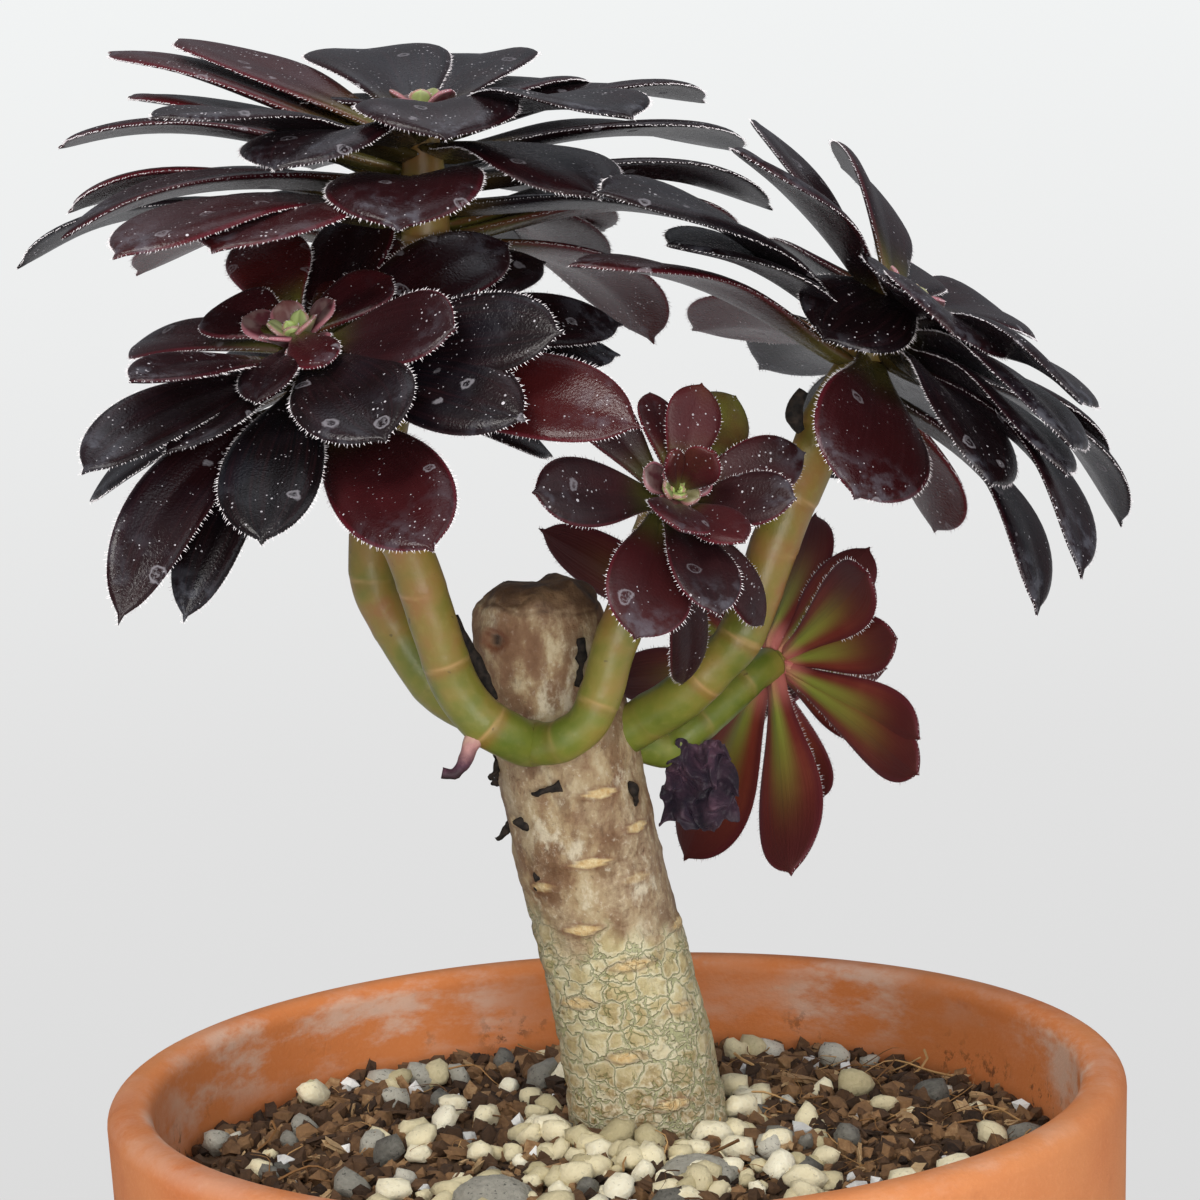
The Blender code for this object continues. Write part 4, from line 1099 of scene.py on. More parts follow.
class SUCCULENT_OT_soil(bpy.types.Operator):
    """Lay the soil's surface and strew what lies on it"""
    bl_idname = "succulent.soil"
    bl_label = "Soil"

    def execute(self, context):
        settings = context.scene.succulent_soil
        ground = soil_ground(settings)
        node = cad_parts["soil"]
        node.data.materials.clear()
        node.data.materials.append(ground)
        self.surface(ground)
        draw = random.Random(11)
        chips = [chip_shape(seed) for seed in range(5)]
        rows = []
        for place in strewn(draw, settings.chips, lambda x, y: 1.0):
            size = 1.2 + 4.6 * draw.random() ** 2.6
            rows.append((draw.randrange(5), laid(draw, place, size, 30, 0.30), draw.random()))
        settle(copies("bark_chips", chips, rows), "bark_chips", [bark_chip(settings)])
        crumbs = [lump(1, 0.5, seed) for seed in range(4)]
        rows = []
        for place in strewn(draw, 3 * settings.chips, lambda x, y: 1.0, 1.0):
            size = 0.8 + 3.4 * draw.random() ** 2
            rows.append((draw.randrange(4), laid(draw, place, size, 40, 0.25),
                         0.05 + 0.75 * draw.random()))
        settle(copies("soil_crumbs", crumbs, rows), "soil_crumbs", [bark_chip(settings)])
        pebbles = [lump(2, 0.22, seed, (1.15, 0.85, 0.72)) for seed in range(6)]
        rows = []
        for place in strewn(draw, settings.pebbles, near_front, 3.0):
            size = 2.6 + 4.2 * draw.random() ** 1.3
            rows.append((draw.randrange(6), laid(draw, place, size, 25, 0.12), draw.random()))
        settle(copies("pumice_pebbles", pebbles, rows, True), "pumice_pebbles",
               [pumice(settings)])
        rows = []
        for place in strewn(draw, settings.perlite, lambda x, y: 0.8):
            size = 1.2 + 2.4 * draw.random() ** 1.5
            rows.append((draw.randrange(4), laid(draw, place, size, 40, 0.1), draw.random()))
        settle(copies("perlite_grains", crumbs, rows), "perlite_grains",
               [perlite(settings)])
        rows = []
        for place in strewn(draw, settings.stones, lambda x, y: 0.8, 4.0):
            size = 3.0 + 5.0 * draw.random() ** 1.6
            rows.append((draw.randrange(6), laid(draw, place, size, 25, 0.2), draw.random()))
        settle(copies("grit_stones", pebbles, rows, True), "grit_stones", [grit(settings)])
        self.fibres(draw, settings)
        return {'FINISHED'}

    def surface(self, ground):
        """The crumbly top of the soil, just over the packed soil."""
        reach = wall_radius(SOIL_BELOW_RIM - 2) - 0.15
        deselect()
        bpy.ops.mesh.primitive_grid_add(x_subdivisions=150, y_subdivisions=150, size=2.0)
        obj = bpy.context.object
        points = coordinates(obj.data)
        # A square grid becomes a disc: each ring of the square is made round.
        square = np.abs(points[:, :2]).max(1)
        length = np.maximum(np.linalg.norm(points[:, :2], axis=1), 1e-9)
        disc = points[:, :2] * (square / length)[:, None] * reach
        for i, (x, y) in enumerate(disc):
            points[i] = (SOIL_MIDDLE.x + x * MM, SOIL_MIDDLE.y + y * MM, soil_height(x, y))
        set_coordinates(obj.data, points)
        solid = obj.modifiers.new("depth", 'SOLIDIFY')
        solid.thickness = 1.2 * MM
        solid.offset = -1.0
        apply_modifiers(obj)
        write_attribute(obj.data, "shade", np.full(len(obj.data.vertices), 0.35))
        obj.data.shade_smooth()
        settle(obj, "soil_surface", [ground])

    def fibres(self, draw, settings):
        """Curly fibres, thicker on the right where roots have come up."""
        shapes = []
        for seed in range(6):
            curl = random.Random(seed)
            a, b, c = (curl.uniform(0, math.tau) for _ in range(3))
            points = [((t - 0.5), 0.16 * math.sin(4 * t + a) + 0.06 * math.sin(11 * t + b),
                       0.10 * math.sin(5 * t + c), 0.012 * (1.1 - t))
                      for t in (k / 10 for k in range(11))]
            shapes.append(read_shape(tube("fibre", points, 4)))
        rows = []
        for place in strewn(draw, settings.fibres,
                            lambda x, y: 0.25 + 0.75 * (x > 30 and y > -20), 6.0):
            size = 8 + 16 * draw.random() ** 2
            x, y = place
            turn = Matrix.Rotation(draw.uniform(0, math.tau), 4, 'Z')
            lean = Matrix.Rotation(math.radians(draw.uniform(-14, 14)), 4, 'Y')
            at = Matrix.Translation((SOIL_MIDDLE.x + x * MM, SOIL_MIDDLE.y + y * MM,
                                     soil_height(x, y) + draw.uniform(1.0, 2.6) * MM))
            reach = math.hypot(x, y) + size / 2
            if reach > wall_radius(SOIL_BELOW_RIM):
                continue
            rows.append((draw.randrange(6), at @ turn @ lean @ Matrix.Scale(size * MM, 4),
                         draw.random()))
        settle(copies("soil_fibres", shapes, rows), "soil_fibres", [fibre(settings)])


class SUCCULENT_OT_stones(bpy.types.Operator):
    """Set the two large stones in the soil"""
    bl_idname = "succulent.stones"
    bl_label = "Large stones"

    def execute(self, context):
        settings = context.scene.succulent_soil
        material = grit(settings)
        for number in (1, 2):
            name = "large_stone_%d" % number
            low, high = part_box(name)
            middle, size = (low + high) / 2, high - low
            deselect()
            bpy.ops.mesh.primitive_ico_sphere_add(subdivisions=5, radius=0.5)
            obj = context.object
            points = coordinates(obj.data)
            for i, point in enumerate(points):
                spot = Vector(point) * 2.2 + Vector((number * 3.7, 0, 0))
                facets = noise.voronoi(spot)[0][0]
                pits = noise.fractal(spot * 3.5, 0.7, 2.0, 4)
                points[i] = point * (0.94 + 0.22 * (facets - 0.4) + 0.05 * pits)
            set_coordinates(obj.data, points * np.array(size) + np.array(middle))
            write_attribute(obj.data, "shade", np.full(len(points), 0.5))
            obj.data.shade_smooth()
            settle(obj, "rough_stone_%d" % number, [material], [name])
        return {'FINISHED'}


# -------------------------------------------------------------------- trunk


def trunk_samples():
    """Trunk's centre line and radius in metres, close enough for its skin."""
    points = [(*plant_point(*place), share * TRUNK_RADIUS * MM) for place, share in TRUNK_ROUTE]
    return even_steps(curve_through(points, 12), 0.42 * MM)[0]


def trunk_at(samples, height):
    """The trunk's centre and radius at a height in mm over the soil."""
    z = SOIL_MIDDLE.z + height * MM
    order = samples[:, 2]
    return Vector([np.interp(z, order, samples[:, k]) for k in range(3)]), \
        float(np.interp(z, order, samples[:, 3]))


class SUCCULENT_OT_trunk(bpy.types.Operator):
    """Grow the trunk with its scars, cracks, healed stub and dry stalks"""
    bl_idname = "succulent.trunk"
    bl_label = "Trunk"

    def execute(self, context):
        settings = context.scene.succulent_plant
        samples = trunk_samples()
        trunk = tube("trunk_skin", samples, 144)
        mesh = trunk.data
        places = coordinates(mesh)
        scar = np.zeros(len(places))
        edge = np.zeros(len(places))
        crack = np.zeros(len(places))
        stub = np.zeros(len(places))
        for i, place in enumerate(places):
            height = (place[2] - SOIL_MIDDLE.z) / MM
            centre, radius = trunk_at(samples, height)
            out = Vector((place[0] - centre.x, place[1] - centre.y, 0))
            if out.length < 1e-5:
                stub[i] = 1.0
                continue
            turn = math.degrees(math.atan2(out.x, -out.y))
            out.normalize()
            lift = 0.55 * fractal(place, 13, 3) + 0.22 * fractal(place, 3, 3)
            for at, level, width, fresh in TRUNK_SCARS:
                away = (turn - at + 180) % 360 - 180
                across = math.radians(away) * radius / MM / (width / 2)
                up = (height - level - 0.10 * math.radians(away) * radius / MM) / 0.95
                if abs(across) > 1.9 or abs(up) > 3.2:
                    continue
                lens = math.sqrt(across ** 2 + up ** 2 + 0.8 * abs(across * up))
                inside = min(1.0, max(0.0, (1.05 - lens) / 0.22))
                rim = math.exp(-((lens - 1.25) / 0.28) ** 2)
                lift += fresh * (0.28 * inside + 0.30 * rim)
                scar[i] = max(scar[i], inside * fresh)
                edge[i] = max(edge[i], rim * fresh * 0.55)
            low = min(1.0, max(0.0, (47 + 9 * fractal(place, 20, 2) - height) / 9))
            if low > 0:
                warp = noise.noise_vector(Vector(place) / (4 * MM)) * 0.16
                spot = Vector((place[0], place[1], place[2] * 0.75)) / (3.9 * MM) + warp
                near = noise.voronoi(spot)[0]
                fissure = min(1.0, max(0.0, (0.13 - (near[1] - near[0])) / 0.13)) * low
                fissure *= 1 - scar[i]
                lift += 0.20 * low * min(1.0, 2.2 * (near[1] - near[0])) - 0.35 * fissure
                crack[i] = fissure
            level = height + 1.1 * out.x - 0.8 * out.y + 0.9 * fractal(place, 9, 2)
            top = min(1.0, max(0.0, (level - CREASE) / 1.0))
            crease = math.exp(-((level - CREASE) / 0.40) ** 2)
            lift += 0.9 * top * fractal(place, 5, 3) - 0.40 * crease
            sink = 0.0
            if height > CREASE - 3:
                sink = 1.3 * fractal((place[0], place[1], 0.4), 6, 3) * min(1, (height + 3 - CREASE) / 4)
            stub[i] = max(0.9 * top, 0.9 * crease)
            (eye_turn, eye_height), (eye_width, eye_tall) = EYE, EYE_SIZE
            away = math.radians((turn - eye_turn + 180) % 360 - 180) * radius / MM
            eye = math.hypot(away / eye_width, (height - eye_height) / eye_tall)
            if eye < 2.4:
                socket = math.exp(-((eye - 1.0) / 0.35) ** 2)
                edge[i] = max(edge[i], socket)
                stub[i] = max(stub[i], min(1.0, max(0.0, (0.75 - eye) / 0.25)))
                lift += 0.45 * math.exp(-((eye - 1.5) / 0.4) ** 2) - 0.5 * math.exp(-eye ** 2)
            places[i] = place + np.array(out) * lift * MM + np.array((0, 0, sink * MM))
        set_coordinates(mesh, places)
        for name, values in (("scar", scar), ("scar_edge", edge), ("crack", crack),
                             ("stub", stub)):
            write_attribute(mesh, name, values)
        settle(trunk, "trunk_bark", [bark(settings)], ["trunk"])
        self.dry_stalks(samples, settings)
        return {'FINISHED'}

    def dry_stalks(self, samples, settings):
        """Shrivelled black stalks that cling to the trunk."""
        made = []
        for number, (turn, height, length, width, lean) in enumerate(DRY_STALKS):
            draw = random.Random(number)
            centre, radius = trunk_at(samples, height)
            angle = math.radians(turn)
            out = Vector((math.sin(angle), -math.cos(angle), 0))
            side = Vector((math.cos(angle), math.sin(angle), 0))
            lean_angle = math.radians(lean)
            down = side * math.sin(lean_angle) - Vector((0, 0, 1)) * math.cos(lean_angle)
            start = centre + out * (radius - 0.3 * MM)
            points = []
            for k in range(6):
                t = k / 5
                spot = start + down * (t * length * MM) + out * (
                    0.7 + 0.9 * math.sin(3 * t + number)) * MM * (0.3 + t)
                girth = width / 2 * (0.8 + 0.35 * draw.uniform(-1, 1)) * (1.0 - 0.45 * t ** 2)
                points.append((*spot, girth * 0.75 * MM))
            stalk = tube("stalk", even_steps(curve_through(points, 4), 0.5 * MM)[0], 12)
            places = coordinates(stalk.data)
            for i, place in enumerate(places):
                places[i] = place + np.array(noise.noise_vector(Vector(place) / (1.3 * MM))) * (
                    0.45 * MM)
            set_coordinates(stalk.data, places)
            made.append(stalk)
        for number, route in enumerate(HANGING_STALKS):
            points = [(*plant_point(*place), radius * MM) for place, radius in route]
            stalk = tube("stalk", even_steps(curve_through(points, 4), 0.5 * MM)[0], 12)
            places = coordinates(stalk.data)
            for i, place in enumerate(places):
                places[i] = place + np.array(noise.noise_vector(Vector(place) / (2.0 * MM))) * (
                    0.35 * MM)
            set_coordinates(stalk.data, places)
            if number == 0:
                share = np.clip((SOIL_MIDDLE.z / MM + 79.5 - places[:, 2] / MM) / 8.5, 0, 1)
                write_attribute(stalk.data, "shade", share)
                stalk.data.shade_smooth()
                settle(stalk, "hanging_stalk", [dry_stalk(settings)])
            else:
                made.append(stalk)
        settle(join(made), "dry_leaf_stalks", [black_scrap(settings)])


WITHERED_HANGS = (-0.8, -1.0, 6.0)    # how the dead leaf hangs from its packed place, in mm


class SUCCULENT_OT_dry_leaf(bpy.types.Operator):
    """Crumple the dead leaf under the lowest branch"""
    bl_idname = "succulent.dry_leaf"
    bl_label = "Dead leaf"

    def execute(self, context):
        settings = context.scene.succulent_plant
        low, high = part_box("withered_leaf")
        middle = np.array((low + high) / 2) + np.array(WITHERED_HANGS) * MM
        size = np.array(high - low)
        deselect()
        bpy.ops.mesh.primitive_grid_add(x_subdivisions=40, y_subdivisions=48, size=1.0)
        obj = context.object
        points = coordinates(obj.data)
        for i, (u, v, _) in enumerate(points):
            spot = Vector((u, v, 0))
            fold = noise.fractal(spot * 3.0 + Vector((4, 0, 0)), 0.8, 2.0, 3)
            deep = noise.fractal(spot * 2.2 + Vector((0, 9, 0)), 0.8, 2.0, 3)
            sharp = abs(noise.noise(spot * 5.0)) * 1.4 - 0.4
            width = 0.62 + 0.38 * math.cos(2.2 * v + 0.6)
            points[i] = (1.05 * u * width + 0.16 * deep, 0.55 * fold + 0.25 * sharp,
                         0.98 * v + 0.10 * fold - 0.06 * math.cos(9 * u))
        set_coordinates(obj.data, points * size * 1.05 + middle)
        solid = obj.modifiers.new("thickness", 'SOLIDIFY')
        solid.thickness = 0.35 * MM
        smooth = obj.modifiers.new("soft", 'SUBSURF')
        smooth.levels = smooth.render_levels = 1
        apply_modifiers(obj)
        obj.data.shade_smooth()
        settle(obj, "dead_leaf", [dry_leaf(settings)], ["withered_leaf"])
        return {'FINISHED'}


# ----------------------------------------------------------------- branches


class SUCCULENT_OT_branches(bpy.types.Operator):
    """Grow the green branches with the lines where leaves stood"""
    bl_idname = "succulent.branches"
    bl_label = "Branches"

    def execute(self, context):
        settings = context.scene.succulent_plant
        material = stem_skin(settings)
        for number, (name, (share, route)) in enumerate(BRANCHES.items()):
            self.branch(name, share, route, material, random.Random(number + 5))
        return {'FINISHED'}

    def branch(self, name, share, route, material, draw):
        """One branch: a tube that swells a little at each old leaf line."""
        sides = 28
        points = [(*plant_point(*p), share * BRANCH_RADIUS * MM) for p in route]
        samples, along = even_steps(curve_through(points, 8), 0.5 * MM)
        lines, place = [], 7.0
        while place < along[-1] / MM - 2:
            lines.append((place, draw.uniform(0, math.tau), draw.uniform(0.35, 0.9)))
            place += draw.uniform(8.0, 14.0)
        branch = tube(name, samples, sides)
        mesh = branch.data
        places = coordinates(mesh)
        middles = samples[:, :3]
        scar = np.zeros(len(places))
        shoulder = np.zeros(len(places))
        for i, spot in enumerate(places):
            nearest = int(np.argmin(((middles - spot) ** 2).sum(1)))
            out = Vector(spot - middles[nearest])
            if out.length < 1e-5:
                continue
            out.normalize()
            here = along[nearest] / MM
            round_angle = math.atan2(out.x, -out.y)
            lift = 0.22 * fractal(spot, 9, 2)
            for at, turn, strength in lines:
                bowed = here - at - 0.8 * math.cos(round_angle - turn)
                if abs(bowed) > 4:
                    continue
                facing = 0.5 + 0.5 * math.cos(round_angle - turn)
                line = math.exp(-(bowed / 0.34) ** 2) * strength * facing
                lift += 0.12 * math.exp(-((bowed - 0.8) / 1.3) ** 2) - 0.15 * line
                scar[i] = max(scar[i], line)
                rust = math.exp(-((bowed + 0.8) / 0.8) ** 2) * strength * facing
                shoulder[i] = max(shoulder[i], rust)
            places[i] = spot + np.array(out) * lift * MM
        set_coordinates(mesh, places)
        write_attribute(mesh, "scar", scar)
        write_attribute(mesh, "shoulder", shoulder)
        settle(branch, name + "_stem", [material], [name + "_branch"])


# ------------------------------------------------------------------- leaves


LEAF_ROWS = 15
LEAF_COLUMNS = 9
HAIR_RADIUS = 0.115 * MM
ROOT_IN = 3.2              # how far a leaf runs into its crown, in mm
STALK_SHARE = 0.27         # width of a leaf's foot over its widest
WIDEST_AT = 0.68
TIP_POWER = 2.3
TIP_BLUNT = 0.60
DROOP = 1.35               # above 1, a leaf bends down most near its tip
TIP_START = 0.972          # where the small point begins
TIP_CROWDING = 1.6
EDGE_CROWDING = 1.25


class Crown:
    """Where a rosette stands: its base, its axis and two directions across."""

    def __init__(self, name):
        self.axis = Vector(ROSETTES[name]["axis"]).normalized()
        self.base = plant_point(*BRANCHES[name][1][-1])
        across = Vector((1.0, 0.0, 0.0))
        self.right = (across - self.axis * across.dot(self.axis)).normalized()
        self.ahead = self.axis.cross(self.right)


def blade_width(share):
    """A leaf's width over its widest, along its length."""
    t = np.clip(share / WIDEST_AT, 0, 1)
    stalk = STALK_SHARE + (1 - STALK_SHARE) * (t * t * (3 - 2 * t)) ** 1.1
    q = np.clip((share - WIDEST_AT) / (TIP_START - WIDEST_AT), 0, 1)
    end = (1 - q ** TIP_POWER) ** TIP_BLUNT
    point = 0.10 * np.clip((1 - share) / (1 - TIP_START), 0, 1)
    return np.where(share < WIDEST_AT, stalk, np.maximum(end, point))


def foot_share(length_share):
    """How far out a leaf stands: the short inner ones sit close to the axis."""
    return min(1.0, max(0.2, 2.2 * length_share - 0.25))


def blade_prototype():
    """A flat blade: along 0..1, across -1..1 and -0.5..0.5 through it, with
    its two faces and its rim in three material slots."""
    deselect()
    bpy.ops.mesh.primitive_grid_add(x_subdivisions=LEAF_ROWS, y_subdivisions=LEAF_COLUMNS,
                                    size=2.0, location=(0, 0, 0))
    obj = bpy.context.object
    for number in range(3):
        obj.data.materials.append(bpy.data.materials.new("blank"))
    solid = obj.modifiers.new("thickness", 'SOLIDIFY')
    solid.thickness = 1.0
    solid.offset = 0.0
    solid.material_offset = 1
    solid.material_offset_rim = 2
    smooth = obj.modifiers.new("round edge", 'SUBSURF')
    smooth.levels = smooth.render_levels = 1
    apply_modifiers(obj)
    points = coordinates(obj.data)
    share = np.clip((points[:, 0] + 1) / 2, 0, 1)
    points[:, 0] = 1 - (1 - share) ** TIP_CROWDING
    across = np.clip(np.abs(points[:, 1]), 0, 1)
    points[:, 1] = np.sign(points[:, 1]) * (1 - (1 - across) ** EDGE_CROWDING)
    set_coordinates(obj.data, points)
    layer = obj.data.uv_layers.active
    layer.name = "UVMap"
    corners = np.empty(len(obj.data.loops), np.int32)
    obj.data.loops.foreach_get("vertex_index", corners)
    flat = np.stack([points[corners, 0], points[corners, 1] / 2 + 0.5], 1)
    layer.data.foreach_set("uv", flat.astype(np.float32).ravel())
    return obj


def grown_places(crown, foot, row, thickness, spots, chance):
    """Carry points of the flat blade onto a grown leaf, in metres. Its foot
    stands that many mm from the crown's axis."""
    turn, lift, height, length, width, bend, twist = row[:7]
    angle, lift_angle = math.radians(turn), math.radians(lift)
    twist_angle = math.radians(twist)
    arc = math.radians(bend if abs(bend) > 1 else 1)
    out = crown.right * math.cos(angle) + crown.ahead * math.sin(angle)
    side = np.array(crown.axis.cross(out))
    chord = np.array(out * math.cos(lift_angle) + crown.axis * math.sin(lift_angle))
    above = np.array(crown.axis * math.cos(lift_angle) - out * math.sin(lift_angle))
    root_in = min(ROOT_IN, foot)
    start = np.array(crown.base + crown.axis * height * MM + out * foot * MM)
    start = start - chord * root_in * MM
    length = (length + root_in) * MM
    share, edge, through = spots.T
    half = blade_width(share) * width * MM / 2
    bent = arc * (share - 0.5)
    divide = 2 * math.sin(arc / 2)
    along = (np.sin(bent) + math.sin(arc / 2)) / divide
    bent = arc * (np.clip(share, 0, 1) ** DROOP - 0.5)
    rise = (np.cos(bent) - math.cos(arc / 2)) / divide
    up = chord * np.sin(bent)[:, None] + above * np.cos(bent)[:, None]
    across = side * math.cos(twist_angle) + up * math.sin(twist_angle)
    raised = up * math.cos(twist_angle) - side * math.sin(twist_angle)
    cup = (0.34 - 0.26 * share + 0.10 * (chance - 0.5)) * np.abs(edge) ** 1.7 * half
    rolled = -0.09 * half * np.clip((np.abs(edge) - 0.55) / 0.45, 0, 1) ** 2
    groove = -0.35 * MM * np.exp(-(edge / 0.16) ** 2) * np.clip(1 - share, 0, 1) ** 0.5
    wave = 0.045 * half * np.sin(7 * share + 6.3 * chance + 2.2 * edge) * np.abs(edge)
    tapered = np.sqrt(np.clip(1 - np.abs(edge) ** 3.2, 0.05, 1))
    tapered = tapered * np.sqrt(np.clip(1 - np.clip(share, 0, 1) ** 14, 0.08, 1))
    depth = through * thickness * (1.35 - 0.45 * share) * tapered
    cup = cup + rolled
    return (start + chord * (along * length)[:, None] + above * (rise * length)[:, None]
            + across * (edge * half)[:, None] + raised * (cup + groove + wave + depth)[:, None])


def hair_rows(crown, foot, row, thickness, chance, settings, draw):
    """Where the white hairs stand along a leaf's edge."""
    length, width = row[3], row[4]
    rows = []
    fine = np.linspace(0.10, 1.0, 400)
    for side in (-1.0, 1.0):
        spots = np.stack([fine, np.full(400, side), np.zeros(400)], 1)
        edge = grown_places(crown, foot, row, thickness, spots, chance)
        inner = grown_places(crown, foot, row, thickness, spots * (1, 0.8, 1), chance)
        travelled = np.concatenate([[0], np.cumsum(np.linalg.norm(np.diff(edge, axis=0), axis=1))])
        count = int(travelled[-1] / settings.hair_spacing)
        for k in range(count):
            at = (k + draw.uniform(0.2, 0.8)) / count * travelled[-1]
            i = min(398, int(np.searchsorted(travelled, at)))
            ahead = Vector(edge[i + 1] - edge[i - 1]).normalized()
            away = Vector(edge[i] - inner[i]).normalized()
            away = (away - ahead * away.dot(ahead)).normalized()
            tilt = Vector([draw.uniform(-0.35, 0.35) for _ in range(3)])
            way = (away + ahead * 0.30 + tilt).normalized()
            size = settings.hair_length * draw.uniform(0.45, 1.15) * min(1.0, 0.5 + length / 60)
            turn = way.to_track_quat('Z', 'Y').to_matrix().to_4x4()
            scale = Matrix.Diagonal((HAIR_RADIUS, HAIR_RADIUS, size, 1))
            base = Vector(edge[i]) - away * 0.15 * MM
            rows.append((0, Matrix.Translation(base) @ turn @ scale, 0.5))
    return rows


def hair_shape():
    """One hair: a fine three-sided cone that stands on its base."""
    deselect()
    bpy.ops.mesh.primitive_cone_add(vertices=3, radius1=1.0, radius2=0.0, depth=1.0,
                                    location=(0, 0, 0.5))
    obj = bpy.context.object
    bpy.ops.object.transform_apply(location=True, rotation=True, scale=True)
    return read_shape(obj)


def grow_leaf(name, crown, foot, row, tone, materials, blade, hair, settings, thickness):
    """One leaf: a copy of the blade, carried into place, with its hairs."""
    draw = random.Random(name)
    chance = draw.random()
    mesh = blade.data.copy()
    leaf = bpy.data.objects.new(name, mesh)
    bpy.context.scene.collection.objects.link(leaf)
    set_coordinates(mesh, grown_places(crown, foot, row, thickness, coordinates(blade.data),
                                       chance))
    mesh.materials.clear()
    for material in materials[:3]:
        mesh.materials.append(material)
    mesh.shade_smooth()
    rows = hair_rows(crown, foot, row, thickness, chance, settings, draw)
    hairs = copies("hairs", [hair], rows)
    hairs.data.materials.append(materials[3])
    leaf = join([leaf, hairs])
    write_tone(leaf.data, (*tone, chance))
    return leaf


def leaf_tone(name, row, draw):
    """Darkness and redness of a leaf: the outer and lower, the darker."""
    rosette = ROSETTES[name]
    inner, outer = rosette["dark"]
    share = min(1.0, max(0.0, 1 - row[2] / rosette["height"]))
    dark = row[7] if len(row) > 7 else inner + (outer - inner) * share + draw.uniform(-0.05, 0.05)
    red = row[8] if len(row) > 8 else 0.15 * draw.random()
    return dark, red


class SUCCULENT_OT_leaves(bpy.types.Operator):
    """Grow the outer leaves of each rosette"""
    bl_idname = "succulent.leaves"
    bl_label = "Leaves"

    def execute(self, context):
        settings = context.scene.succulent_plant
        margin, fringe = leaf_margin(settings), leaf_hair(settings)
        waxy = [leaf_upper(settings), leaf_under(settings), margin, fringe]
        downy = [leaf_upper(settings, True), leaf_under(settings, True), margin, fringe]
        shaded_kind = [downy[1], downy[1], margin, fringe]
        blade, hair = blade_prototype(), hair_shape()
        for name, rosette in ROSETTES.items():
            crown = Crown(name)
            packed = len(rosette["packed"])
            materials = {"front_small": downy, "rear_low": shaded_kind}.get(name, waxy)
            rows = rosette["packed"] + rosette["grown"]
            longest = max(row[3] for row in rows)
            for number, row in enumerate(rows, start=1):
                piece = "%s_blade_%02d" % (name, number)
                row = (*row[:4], row[4] * rosette["wide"], *row[5:])
                tone = leaf_tone(name, row, random.Random(piece))
                foot = rosette["foot"] * foot_share(row[3] / longest)
                leaf = grow_leaf(piece, crown, foot, row, tone, materials, blade, hair,
                                 settings, settings.leaf_thickness)
                node = "%s_leaf_%02d" % (name, number)
                settle(leaf, piece, (), [node] if number <= packed else [])
        bpy.data.objects.remove(blade)
        return {'FINISHED'}


HEART_SUNK = 1.5           # how far a heart nestles among its leaves, in mm


class SUCCULENT_OT_hearts(bpy.types.Operator):
    """Grow the young leaves in the heart of each rosette"""
    bl_idname = "succulent.hearts"
    bl_label = "Hearts"

    def execute(self, context):
        settings = context.scene.succulent_plant
        skin, hairs = heart_skin(settings), leaf_hair(settings)
        materials = [skin, skin, leaf_margin(settings), hairs]
        stem = stem_skin(settings)
        blade, hair = blade_prototype(), hair_shape()
        for name, rosette in ROSETTES.items():
            crown = Crown(name)
            radius, height = rosette["radius"], rosette["height"] - HEART_SUNK
            samples = []
            for t, share in ((0, 1.0), (0.4, 0.92), (0.75, 0.72), (0.93, 0.5), (1.0, 0.25)):
                spot = crown.base + crown.axis * (height * t * MM)
                samples.append((*spot, radius * share * MM))
            core = tube("core", curve_through(samples, 5), 20)
            core.data.materials.append(stem)
            pieces = [core]
            count, shortest, longest = HEARTS[name]
            for number in range(count):
                share = number / (count - 1)
                length = shortest + (longest - shortest) * share
                row = (number * GOLDEN_ANGLE, 78 - 50 * share, height * (0.99 - 0.12 * share),
                       length, length * 0.78, 15, 0)
                piece = "%s_young_%02d" % (name, number)
                tone = (0.80 * share ** 1.3, 0.2)
                pieces.append(grow_leaf(piece, crown, 0.4 + 0.6 * share, row, tone, materials,
                                        blade, hair, settings, 1.2 * MM))
            heart = join(pieces)
            settle(heart, name + "_young_leaves", (), [name + "_heart"])
        bpy.data.objects.remove(blade)
        return {'FINISHED'}


# -------------------------------------------------------------------- stage


BACKDROP_RADIUS = 0.40
CAMERA_PLACE = (0.0028, -0.5238, 0.2933)
CAMERA_PITCH = 6.3         # degrees down
CAMERA_ROLL = -2.4
LENS = 90.0                # mm, on a 36 mm wide sensor


def soft_box(name, place, target, size, power, colour):
    """A square area light that looks at a point."""
    data = bpy.data.lights.new(name, 'AREA')
    data.energy = power
    data.size = size
    data.color = linear(colour)[:3]
    light = bpy.data.objects.new(name, data)
    bpy.context.scene.collection.objects.link(light)
    light.location = place
    way = Vector(target) - Vector(place)
    light.rotation_euler = way.to_track_quat('-Z', 'Y').to_euler()
    return light


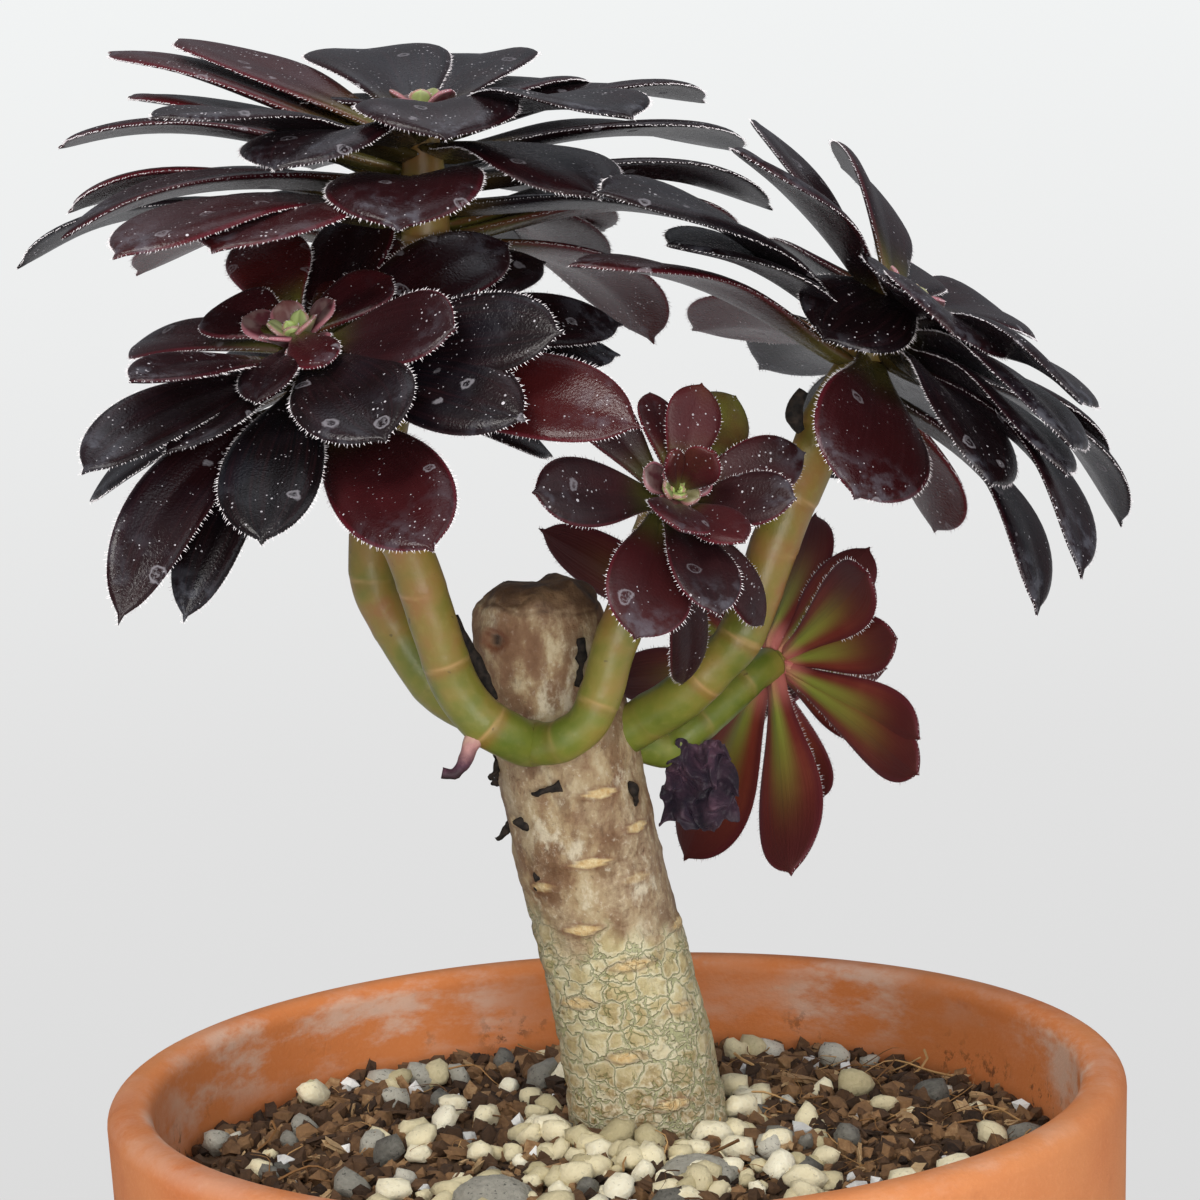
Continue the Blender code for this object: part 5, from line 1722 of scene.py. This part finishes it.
class SUCCULENT_OT_stage(bpy.types.Operator):
    """Set the pale floor, the soft lights and the camera"""
    bl_idname = "succulent.stage"
    bl_label = "Stage"

    def execute(self, context):
        settings = context.scene.succulent_stage
        context.scene.view_settings.view_transform = 'Standard'
        deselect()
        bpy.ops.mesh.primitive_circle_add(vertices=128, radius=BACKDROP_RADIUS, fill_type='NGON',
                                          location=(0, 0, -0.0005))
        floor = context.object
        floor.name = "floor"
        material, tree, shader = new_material("matt_paper", 0.95, 0.1)
        shader.inputs["Base Color"].default_value = (*settings.floor, 1)
        floor.data.materials.append(material)
        self.world(context)
        middle = (0, 0, 0.24)
        soft_box("key_light", (-0.50, -0.80, 1.20), middle, 0.55, settings.key * 1.1, "#FFFCF8")
        soft_box("front_light", (0.15, -1.45, 0.40), middle, 1.0, settings.key * 1.75, "#FFFDFA")
        soft_box("fill_light", (0.95, -0.45, 0.80), middle, 0.9, settings.key * 0.35, "#F6F9FF")
        soft_box("top_light", (0.05, 0.45, 1.45), middle, 0.9, settings.key * 0.25, "#F2F6FF")
        self.camera(context)
        return {'FINISHED'}

    def world(self, context):
        """A pale studio: bright where it is seen, dimmer where it lights."""
        world = bpy.data.worlds.new("studio")
        world.use_nodes = True
        context.scene.world = world
        tree = world.node_tree
        way = add_node(tree, 'ShaderNodeTexCoord', output="Generated")
        height = add_node(tree, 'ShaderNodeSeparateXYZ', {0: way}, output="Z")
        share = add_node(tree, 'ShaderNodeMapRange', {0: height, 1: -1.0, 2: 1.0})
        backdrop = add_node(tree, 'ShaderNodeValToRGB', {0: share}, stops=[
            (0.33, "#DADADA"), (0.56, "#F3F5F5"), (0.42, "#E2E2E2"), (0.50, "#EDEEEE")])
        room = add_node(tree, 'ShaderNodeValToRGB', {0: share}, stops=[
            (0.0, "#D4D4D6"), (1.0, "#8E9299"), (0.38, "#C2C2C4"), (0.55, "#66686C")])
        seen = add_node(tree, 'ShaderNodeLightPath', output="Is Camera Ray")
        colour = mixed(tree, seen, room, backdrop)
        tree.links.new(colour, tree.nodes["Background"].inputs["Color"])

    def camera(self, context):
        """The camera, turned by its pitch and then its roll."""
        data = bpy.data.cameras.new("camera")
        data.lens = LENS
        data.sensor_width = 36.0
        data.clip_start = 0.01
        camera = bpy.data.objects.new("camera", data)
        context.scene.collection.objects.link(camera)
        pitch = Matrix.Rotation(math.radians(90 - CAMERA_PITCH), 4, 'X')
        roll = Matrix.Rotation(math.radians(CAMERA_ROLL), 4, 'Z')
        camera.matrix_world = Matrix.Translation(CAMERA_PLACE) @ pitch @ roll
        context.scene.camera = camera


class SUCCULENT_PT_panel(bpy.types.Panel):
    """Buttons and settings in the sidebar"""
    bl_idname = "SUCCULENT_PT_panel"
    bl_label = "Potted succulent"
    bl_space_type = 'VIEW_3D'
    bl_region_type = 'UI'
    bl_category = "Succulent"

    def draw(self, context):
        for operator in OPERATORS:
            self.layout.operator(operator.bl_idname)
        for name in SETTINGS:
            group = getattr(context.scene, name)
            box = self.layout.box()
            for key in group.bl_rna.properties.keys():
                if key not in ("rna_type", "name"):
                    box.prop(group, key)


SETTINGS = {"succulent_pot": PotSettings, "succulent_soil": SoilSettings,
            "succulent_plant": PlantSettings, "succulent_stage": StageSettings}
OPERATORS = [SUCCULENT_OT_pot, SUCCULENT_OT_soil, SUCCULENT_OT_stones, SUCCULENT_OT_trunk,
             SUCCULENT_OT_branches, SUCCULENT_OT_hearts, SUCCULENT_OT_leaves,
             SUCCULENT_OT_dry_leaf, SUCCULENT_OT_stage]


def register():
    """Make the settings, the operators and the panel known to Blender."""
    for name, group in SETTINGS.items():
        bpy.utils.register_class(group)
        setattr(bpy.types.Scene, name, PointerProperty(type=group))
    for operator in OPERATORS:
        bpy.utils.register_class(operator)
    bpy.utils.register_class(SUCCULENT_PT_panel)


def unregister():
    """Undo register."""
    bpy.utils.unregister_class(SUCCULENT_PT_panel)
    for operator in reversed(OPERATORS):
        bpy.utils.unregister_class(operator)
    for name, group in SETTINGS.items():
        delattr(bpy.types.Scene, name)
        bpy.utils.unregister_class(group)


def main():
    """Build every piece."""
    register()
    bpy.ops.succulent.pot()
    bpy.ops.succulent.soil()
    bpy.ops.succulent.stones()
    bpy.ops.succulent.trunk()
    bpy.ops.succulent.branches()
    bpy.ops.succulent.hearts()
    bpy.ops.succulent.leaves()
    bpy.ops.succulent.dry_leaf()
    bpy.ops.succulent.stage()


if __name__ == "__main__":
    main()
